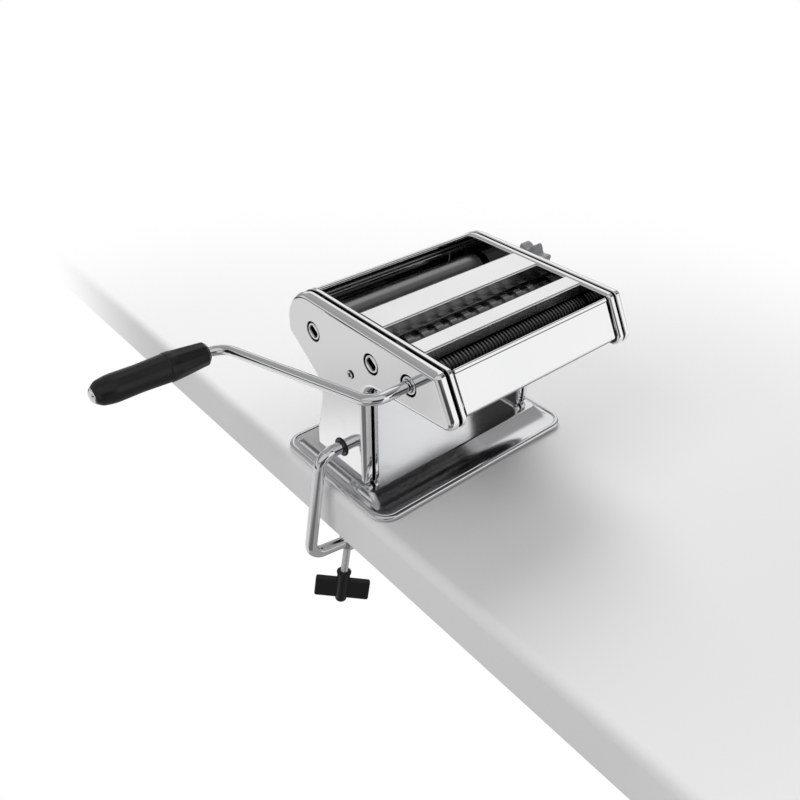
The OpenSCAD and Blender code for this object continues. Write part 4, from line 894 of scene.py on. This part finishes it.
# thread: radius less a groove with sloped sides that climbs one pitch in each turn, plain at both ends
def clampScrew():
    low, high = bolt["low"], pad["top"] - pad["thick"] + bolt["seat"]
    u = np.linspace(low, high, 520)[:, None]
    a = np.linspace(0, 2 * np.pi, 41)[None]
    ridge = np.abs(((u / bolt["pitch"] - a / (2 * np.pi)) % 1.0) * 2 - 1)
    fade = np.clip(high - bolt["plainTop"] - u, 0, 1) * np.clip((u - bolt["plainFoot"]) / bolt["pitch"], 0, 1)
    groove = np.clip(bolt["steep"] * (1 - ridge) - bolt["crest"], 0, 1)
    r = bolt["r"] - bolt["deep"] * groove * fade
    points = put(screwAxes, r * np.cos(a), r * np.sin(a), u, eyeAt)
    points[:, -1] = points[:, 0]
    ends = [fan(points[i], points[i, :-1].mean(0), facing * screwWay) for i, facing in ((0, -1), (-1, 1))]
    return [surface(points, True, eyeAt + screwWay * u[:, :, None])] + ends


# a turned disc with a well for the screw's end
def clampPad():
    r, top, low = pad["r"], pad["top"], pad["top"] - pad["thick"]
    well, soft = bolt["r"] + pad["play"], pad["play"]
    profile = chain([(0, top), (r, top, pad["topRound"]), (r, low, pad["footRound"]),
                     (well, low, pad["lipRound"]), (well, low + pad["well"], soft), (0, low + pad["well"])],
                    False, (0, 1), 10)
    return [lathe(profile, screwAxes, eyeAt)]


# a turned ring with a groove that holds the cover's sheet
def clampGrommet():
    inside = clamp["r"] + grommet["play"]
    corners = [(inside + k[0], k[1] - coverFace, *k[2:]) for k in grommet["section"]]
    return [lathe(chain(corners, False, (-1, 0), 15), sideAxes, clampOrigin, 64)]


# wing: a hub with a rounded foot, and a flat blade whose edges are rounded all round
def clampWing():
    top, length, r = wing["hubTop"], wing["hubLength"], wing["hubR"]
    bore, floor = wing["bore"], top - wing["boreDepth"]
    around = [(r + k[0], top - k[1], k[2]) for k in wing["hubOutside"]]
    hub = chain([(0, top - length), *around, (bore, top, wing["mouthRound"]),
                 (bore, floor, wing["floorRound"]), (0, floor)], False, (0, -1), 8)
    a = math.radians(wing["turn"])
    across = math.cos(a) * screwAxes[0] + math.sin(a) * screwAxes[1]
    thin = -math.sin(a) * screwAxes[0] + math.cos(a) * screwAxes[1]
    half, high, t = wing["span"] / 2, wing["height"] / 2, wing["thick"] / 2
    corner, edge, soft = wing["corner"], wing["edge"], wing["edgeRound"]
    spots = ((-half, -high), (half, -high), (half, high), (-half, high))
    outline = chain([(*spot, corner) for spot in spots], arcStep=10)
    profile = chain([(-edge, -t), (0, -t, soft), (0, t, soft), (-edge, t)], False, (0, -1), 10)
    axes, origin = (across, screwWay, thin), eyeAt + screwWay * (top - length / 2 - wing["below"])
    shrunk = outline[0] - edge * outline[1]
    return [lathe(hub, screwAxes, eyeAt), loft(outline, profile, axes, origin),
            cap([shrunk], -t, -1, axes, origin), cap([shrunk], t, 1, axes, origin)]


addPiece("clampRodBar", clampRod(), "clamp", "chrome", finishes["mirrorRod"], "clamp_rod")
addPiece("clampScrewThread", clampScrew(), "clamp_screw", "chrome", finishes["zincScrew"], "clamp_screw")
blackMoulding = finishes["black_plastic"]
addPiece("clampPadDisc", clampPad(), "pad", "black_plastic", blackMoulding, "clamp_pad")
addPiece("clampGrommetRing", clampGrommet(), "body", "black_plastic", blackMoulding, "clamp_grommet")
addPiece("clampWingMoulding", clampWing(), "clamp_screw", "black_plastic", blackMoulding, "clamp_wing")
print("clamp")

# Gap knob
knobLow, knobHigh = boxOf("gap_knob")
springLow, springHigh = boxOf("knob_spring")
knob = {"hubR": 12.0, "hubIn": knobLow[0], "hubRound": 0.8, "hubFoot": 0.4, "hubNeck": 0.5,
        "lobeIn": coverFace + 10.5, "out": knobHigh[0], "r": 20.5, "lobes": 9, "first": 100.0, "hollow": 5.2,
        "hollowShape": 0.8, "hollowFade": 2.0, "lobeBack": 1.4, "lobeFront": 2.2, "crownIn": 4.5,
        "crownDrop": 0.6, "crownRound": 3.0, "well": 8.2, "wellEdge": 0.8, "shaft": 4.1,
        "floor": coverFace + 12.5, "mouthRound": 0.6, "floorRound": 0.2, "shaftRound": 0.1}
disc = {"backRound": 0.2, "edgeDrop": 0.3, "edgeRound": 0.4, "crownIn": 2.0, "crownRound": 3.0}
coil = {"end": coverFace + 17.5, "r": 5.6, "wire": 0.6, "turns": 3}
knobAt = np.array([0.0, *axisAt["knob"]])


# lobed part: radius less a rounded hollow between lobes, and the hollow fades out towards the middle
def gapKnob():
    inn, out, hubR, r = knob["lobeIn"], knob["out"], knob["hubR"], knob["r"]
    well, edge, floor = knob["well"], knob["wellEdge"], knob["floor"]
    shaft, start, neck = knob["shaft"], knob["hubIn"], hubR - knob["hubNeck"]
    corners = [(neck, inn), (r, inn, knob["lobeBack"]), (r, out - knob["crownDrop"], knob["lobeFront"]),
               (r - knob["crownIn"], out, knob["crownRound"]), (well + edge, out)]
    profile = fill(chain(corners, False, None, 8)[0], 0.5)
    a = np.linspace(0, 2 * np.pi, 361)[None]
    swing = 0.5 - 0.5 * np.cos(knob["lobes"] * (a - math.radians(knob["first"])))
    fade = np.clip((profile[:, :1] - hubR) / (r - hubR - knob["hollowFade"]), 0, 1)
    away = profile[:, :1] - knob["hollow"] * swing ** knob["hollowShape"] * smooth(fade)
    points = put(sideAxes, away * np.cos(a), away * np.sin(a), profile[:, 1:], knobAt)
    points[:, -1] = points[:, 0]
    foot = hubR - knob["hubFoot"]
    hub = chain([(shaft, start), (foot, start, knob["hubRound"]), (neck, inn)], False, (0, -1), 10)
    bore = chain([(well + edge, out), (well, out, knob["mouthRound"]), (well, floor, knob["floorRound"]),
                  (shaft, floor, knob["shaftRound"]), (shaft, start)], False, (0, 1), 12)
    lobes = surface(points, True, knobAt + np.array([(inn + out) / 2, 0, 0]))
    return [lobes, lathe(hub, sideAxes, knobAt, 360), lathe(bore, sideAxes, knobAt, 360)]


# a turned disc with a softly crowned face
def knobCap():
    low, high = boxOf("knob_cap")
    r = (high[1] - low[1]) / 2
    corners = [(0, low[0]), (r, low[0], disc["backRound"]),
               (r, high[0] - disc["edgeDrop"], disc["edgeRound"]),
               (r - disc["crownIn"], high[0], disc["crownRound"]), (0, high[0])]
    return [lathe(chain(corners, False, (0, -1), 10), sideAxes, knobAt)]


# spring: a wire circle carried along a helix, middle = coil radius (cos a, sin a) and a steady rise
def knobSpring():
    wire = coil["wire"]
    a = np.linspace(0, 2 * np.pi * coil["turns"], 145)
    rise = np.linspace(springLow[0] + wire, springHigh[0] - wire, len(a))
    b = np.linspace(0, 2 * np.pi, 17)
    r = coil["r"] + wire * np.cos(b)[None]
    lift = rise[:, None] + wire * np.sin(b)[None]
    points = put(sideAxes, r * np.cos(a)[:, None], r * np.sin(a)[:, None], lift, knobAt)
    points[:, -1] = points[:, 0]
    middle = put(sideAxes, coil["r"] * np.cos(a), coil["r"] * np.sin(a), rise, knobAt)
    ends = [fan(points[i], middle[i], unit(middle[i] - middle[j])) for i, j in ((0, 1), (-1, -2))]
    return [(cells(points), cells(unit(points - middle[:, None])))] + ends


addPiece("gapKnobMoulding", gapKnob(), "knob", "grey_plastic", finishes["grey_plastic"], "gap_knob")
addPiece("knobCapDisc", knobCap(), "knob", "black_plastic", finishes["black_plastic"], "knob_cap")
spring = addPiece("knobSpringCoil", knobSpring(), "cam", "steel", finishes["steel"], "knob_spring")
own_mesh(spring)
print("knob")

# Stage: a pale floor slab that runs out into white, and a tent of grey sheets that only the metal sees
stage = {"edge": -109.0, "far": 1900.0, "front": -1500.0, "rear": 1500.0, "thick": 47.0, "corner": 20.0,
         "topRound": 9.0, "footRound": 3.0, "colour": (0.86, 0.86, 0.865), "rough": 0.6, "plainWithin": 0.30,
         "whiteBeyond": 0.62, "tentRadius": 3000.0, "tentGrey": 0.34, "ambient": 0.45}


def stageObject(name, mesh, finish):
    made = bpy.data.objects.new(name, mesh)
    bpy.context.scene.collection.objects.link(made)
    made.data.materials.append(finish)
    return made


# 1 where the camera or a mirror looks, and 0 for the light that falls on things
def seenDirectly(tree, *kinds):
    rays = addNode(tree, "ShaderNodeLightPath")
    seen = rays.outputs[kinds[0]]
    for kind in kinds[1:]:
        either = addNode(tree, "ShaderNodeMath", operation="MAXIMUM")
        tree.links.new(seen, either.inputs[0])
        tree.links.new(rays.outputs[kind], either.inputs[1])
        seen = either.outputs[0]
    return seen


# first shader where the amount is 0, second where it is 1
def mixShaders(tree, amount, first, second):
    mixed = addNode(tree, "ShaderNodeMixShader")
    for i, value in enumerate((amount, first, second)):
        tree.links.new(value, mixed.inputs[i])
    return mixed.outputs[0]


# the floor: plain near the machine, and white to the camera and the metal further out
def floorFinish():
    finish, tree, shader, place = startFinish("paleFloor")
    shader.inputs["Base Color"].default_value = (*stage["colour"], 1)
    shader.inputs["Roughness"].default_value = stage["rough"]
    away = addNode(tree, "ShaderNodeVectorMath", operation="LENGTH")
    tree.links.new(place.outputs["Object"], away.inputs[0])
    fade = addNode(tree, "ShaderNodeMapRange", interpolation_type="SMOOTHSTEP",
                   in1=stage["plainWithin"], in2=stage["whiteBeyond"])
    tree.links.new(away.outputs["Value"], fade.inputs[0])
    amount = addNode(tree, "ShaderNodeMath", operation="MULTIPLY")
    tree.links.new(fade.outputs[0], amount.inputs[0])
    tree.links.new(seenDirectly(tree, "Is Camera Ray", "Is Glossy Ray"), amount.inputs[1])
    white = addNode(tree, "ShaderNodeEmission", in0=(1, 1, 1, 1), in1=1.0)
    mixed = mixShaders(tree, amount.outputs[0], shader.outputs[0], white.outputs[0])
    tree.links.new(mixed, tree.nodes["Material Output"].inputs["Surface"])
    return finish


# a slab with a rounded edge
def floorSlab():
    inset, thick = stage["corner"], stage["thick"]
    edge, far, front, rear = stage["edge"], stage["far"], stage["front"], stage["rear"]
    outline = chain([(*spot, inset) for spot in ((edge, front), (far, front), (far, rear), (edge, rear))])
    rim = chain([(-inset, 0), (0, 0, stage["topRound"]), (0, -thick, stage["footRound"]), (-inset, -thick)],
                False, (0, 1))
    inner = outline[0] - inset * outline[1]
    return [loft(outline, rim, baseAxes), cap([inner], 0, 1, baseAxes), cap([inner], -thick, -1, baseAxes)]


stageObject("floorSlab", meshOf("floorSlab", floorSlab()), floorFinish())

sheets = [  # compass angle and half width, height angle and half height, softness, tone
    (222, 32, -36, 13, 7, 0.16),
    (130, 46, -36, 24, 6, 0.72),
    (130, 7, -33, 3, 5, 0.62),
    (121, 10, -41, 7, 5, 0.94),
    (230, 60, 48, 26, 8, 0.66),
    (194, 26, -8, 18, 8, 0.60),
    (248, 24, 3, 15, 6, 0.06),
    (50, 36, 44, 32, 9, 0.95),
    (80, 25, 50, 17, 5, 0.38),
    (87, 25, 46, 22, 5, 0.38),
    (312, 24, 37, 12, 5, 0.10),
    (304, 30, 9, 15, 6, 1.0),
    (140, 46, -7, 4, 2, 0.07),
    (140, 30, 8, 6, 4, 0.75),
]


# tone of the tent: an even grey, over which each sheet lays its own tone inside soft edges
def tentTone(compass, height):
    tone = np.full(compass.shape, stage["tentGrey"])
    for middle, half, level, tall, soft, value in sheets:
        off = np.abs((compass - middle + 180) % 360 - 180)
        wide = np.clip((half - off) / soft + 0.5, 0, 1)
        high = np.clip((tall - np.abs(height - level)) / soft + 0.5, 0, 1)
        tone = tone + (value - tone) * smooth(wide * high)
    return tone


# a ball seen from inside: way = (cos height cos compass, cos height sin compass, sin height)
def tent():
    height, compass = np.meshgrid(np.linspace(-90, 90, 121), np.linspace(0, 360, 241), indexing="ij")
    h, c = np.radians(height), np.radians(compass)
    way = np.stack([np.cos(h) * np.cos(c), np.cos(h) * np.sin(c), np.sin(h)], -1)
    way[:, -1] = way[:, 0]
    return cells(stage["tentRadius"] * way), cells(-way), marksOf(tentTone(compass, height))


# glows with the tone that each corner carries
def tentFinish():
    finish = bpy.data.materials.new("tentSheets")
    finish.use_nodes = True
    tree = finish.node_tree
    tree.nodes.remove(tree.nodes["Principled BSDF"])
    mark = addNode(tree, "ShaderNodeAttribute", attribute_name="shade")
    glow = addNode(tree, "ShaderNodeEmission", in1=1.0)
    tree.links.new(mark.outputs["Color"], glow.inputs["Color"])
    tree.links.new(glow.outputs[0], tree.nodes["Material Output"].inputs["Surface"])
    return finish


studioTent = stageObject("studioTent", meshOf("studioTent", [tent()]), tentFinish())
studioTent.visible_camera = False
studioTent.visible_diffuse = False
studioTent.visible_shadow = False
studioTent.visible_transmission = False


# white to the camera and the metal, and a dimmer light all round
def studioWorld():
    world = bpy.data.worlds.new("studio")
    world.use_nodes = True
    tree = world.node_tree
    tree.nodes.clear()
    ambient = addNode(tree, "ShaderNodeBackground", in0=(1, 1, 1, 1), in1=stage["ambient"])
    white = addNode(tree, "ShaderNodeBackground", in0=(1, 1, 1, 1), in1=1.0)
    seen = seenDirectly(tree, "Is Camera Ray", "Is Glossy Ray", "Is Transmission Ray")
    result = addNode(tree, "ShaderNodeOutputWorld")
    tree.links.new(mixShaders(tree, seen, ambient.outputs[0], white.outputs[0]), result.inputs[0])
    return world


bpy.context.scene.world = studioWorld()

lamps = [  # name, place, target, size, watts
    ("rearSoftbox", (0.75, 0.75, 1.35), (0, 0, 0.05), 0.9, 16),
    ("sideSoftbox", (-1.1, -0.1, 1.1), (0, 0, 0.1), 0.8, 6),
]
for name, place, target, size, watts in lamps:
    lamp = bpy.data.lights.new(name, "AREA")
    lamp.shape, lamp.size, lamp.energy = "SQUARE", size, watts
    holder = bpy.data.objects.new(name, lamp)
    holder.location = place
    holder.rotation_euler = (Vector(target) - Vector(place)).to_track_quat("-Z", "Y").to_euler()
    holder.visible_glossy = False  # the metal sees the tent instead
    bpy.context.scene.collection.objects.link(holder)

view = {"centre": (-390.8, -430.7, 441.3), "right": (0.7673, -0.6413, 0.0), "up": (0.3665, 0.4385, 0.8206),
        "back": (-0.5262, -0.6296, 0.5715), "lens": 37.02, "sensor": 36.0}
camera = bpy.data.cameras.new("photoView")
camera.lens, camera.sensor_width, camera.sensor_fit = view["lens"], view["sensor"], "HORIZONTAL"
camera.clip_start, camera.clip_end = 0.01, 100
cameraHolder = bpy.data.objects.new("photoView", camera)
columns = Matrix((view["right"], view["up"], view["back"])).transposed()
cameraHolder.matrix_world = Matrix.Translation(Vector(view["centre"]) * mm) @ columns.to_4x4()
bpy.context.scene.collection.objects.link(cameraHolder)
bpy.context.scene.camera = cameraHolder
bpy.context.scene.view_settings.view_transform = "Standard"
print("stage, lamps and camera")
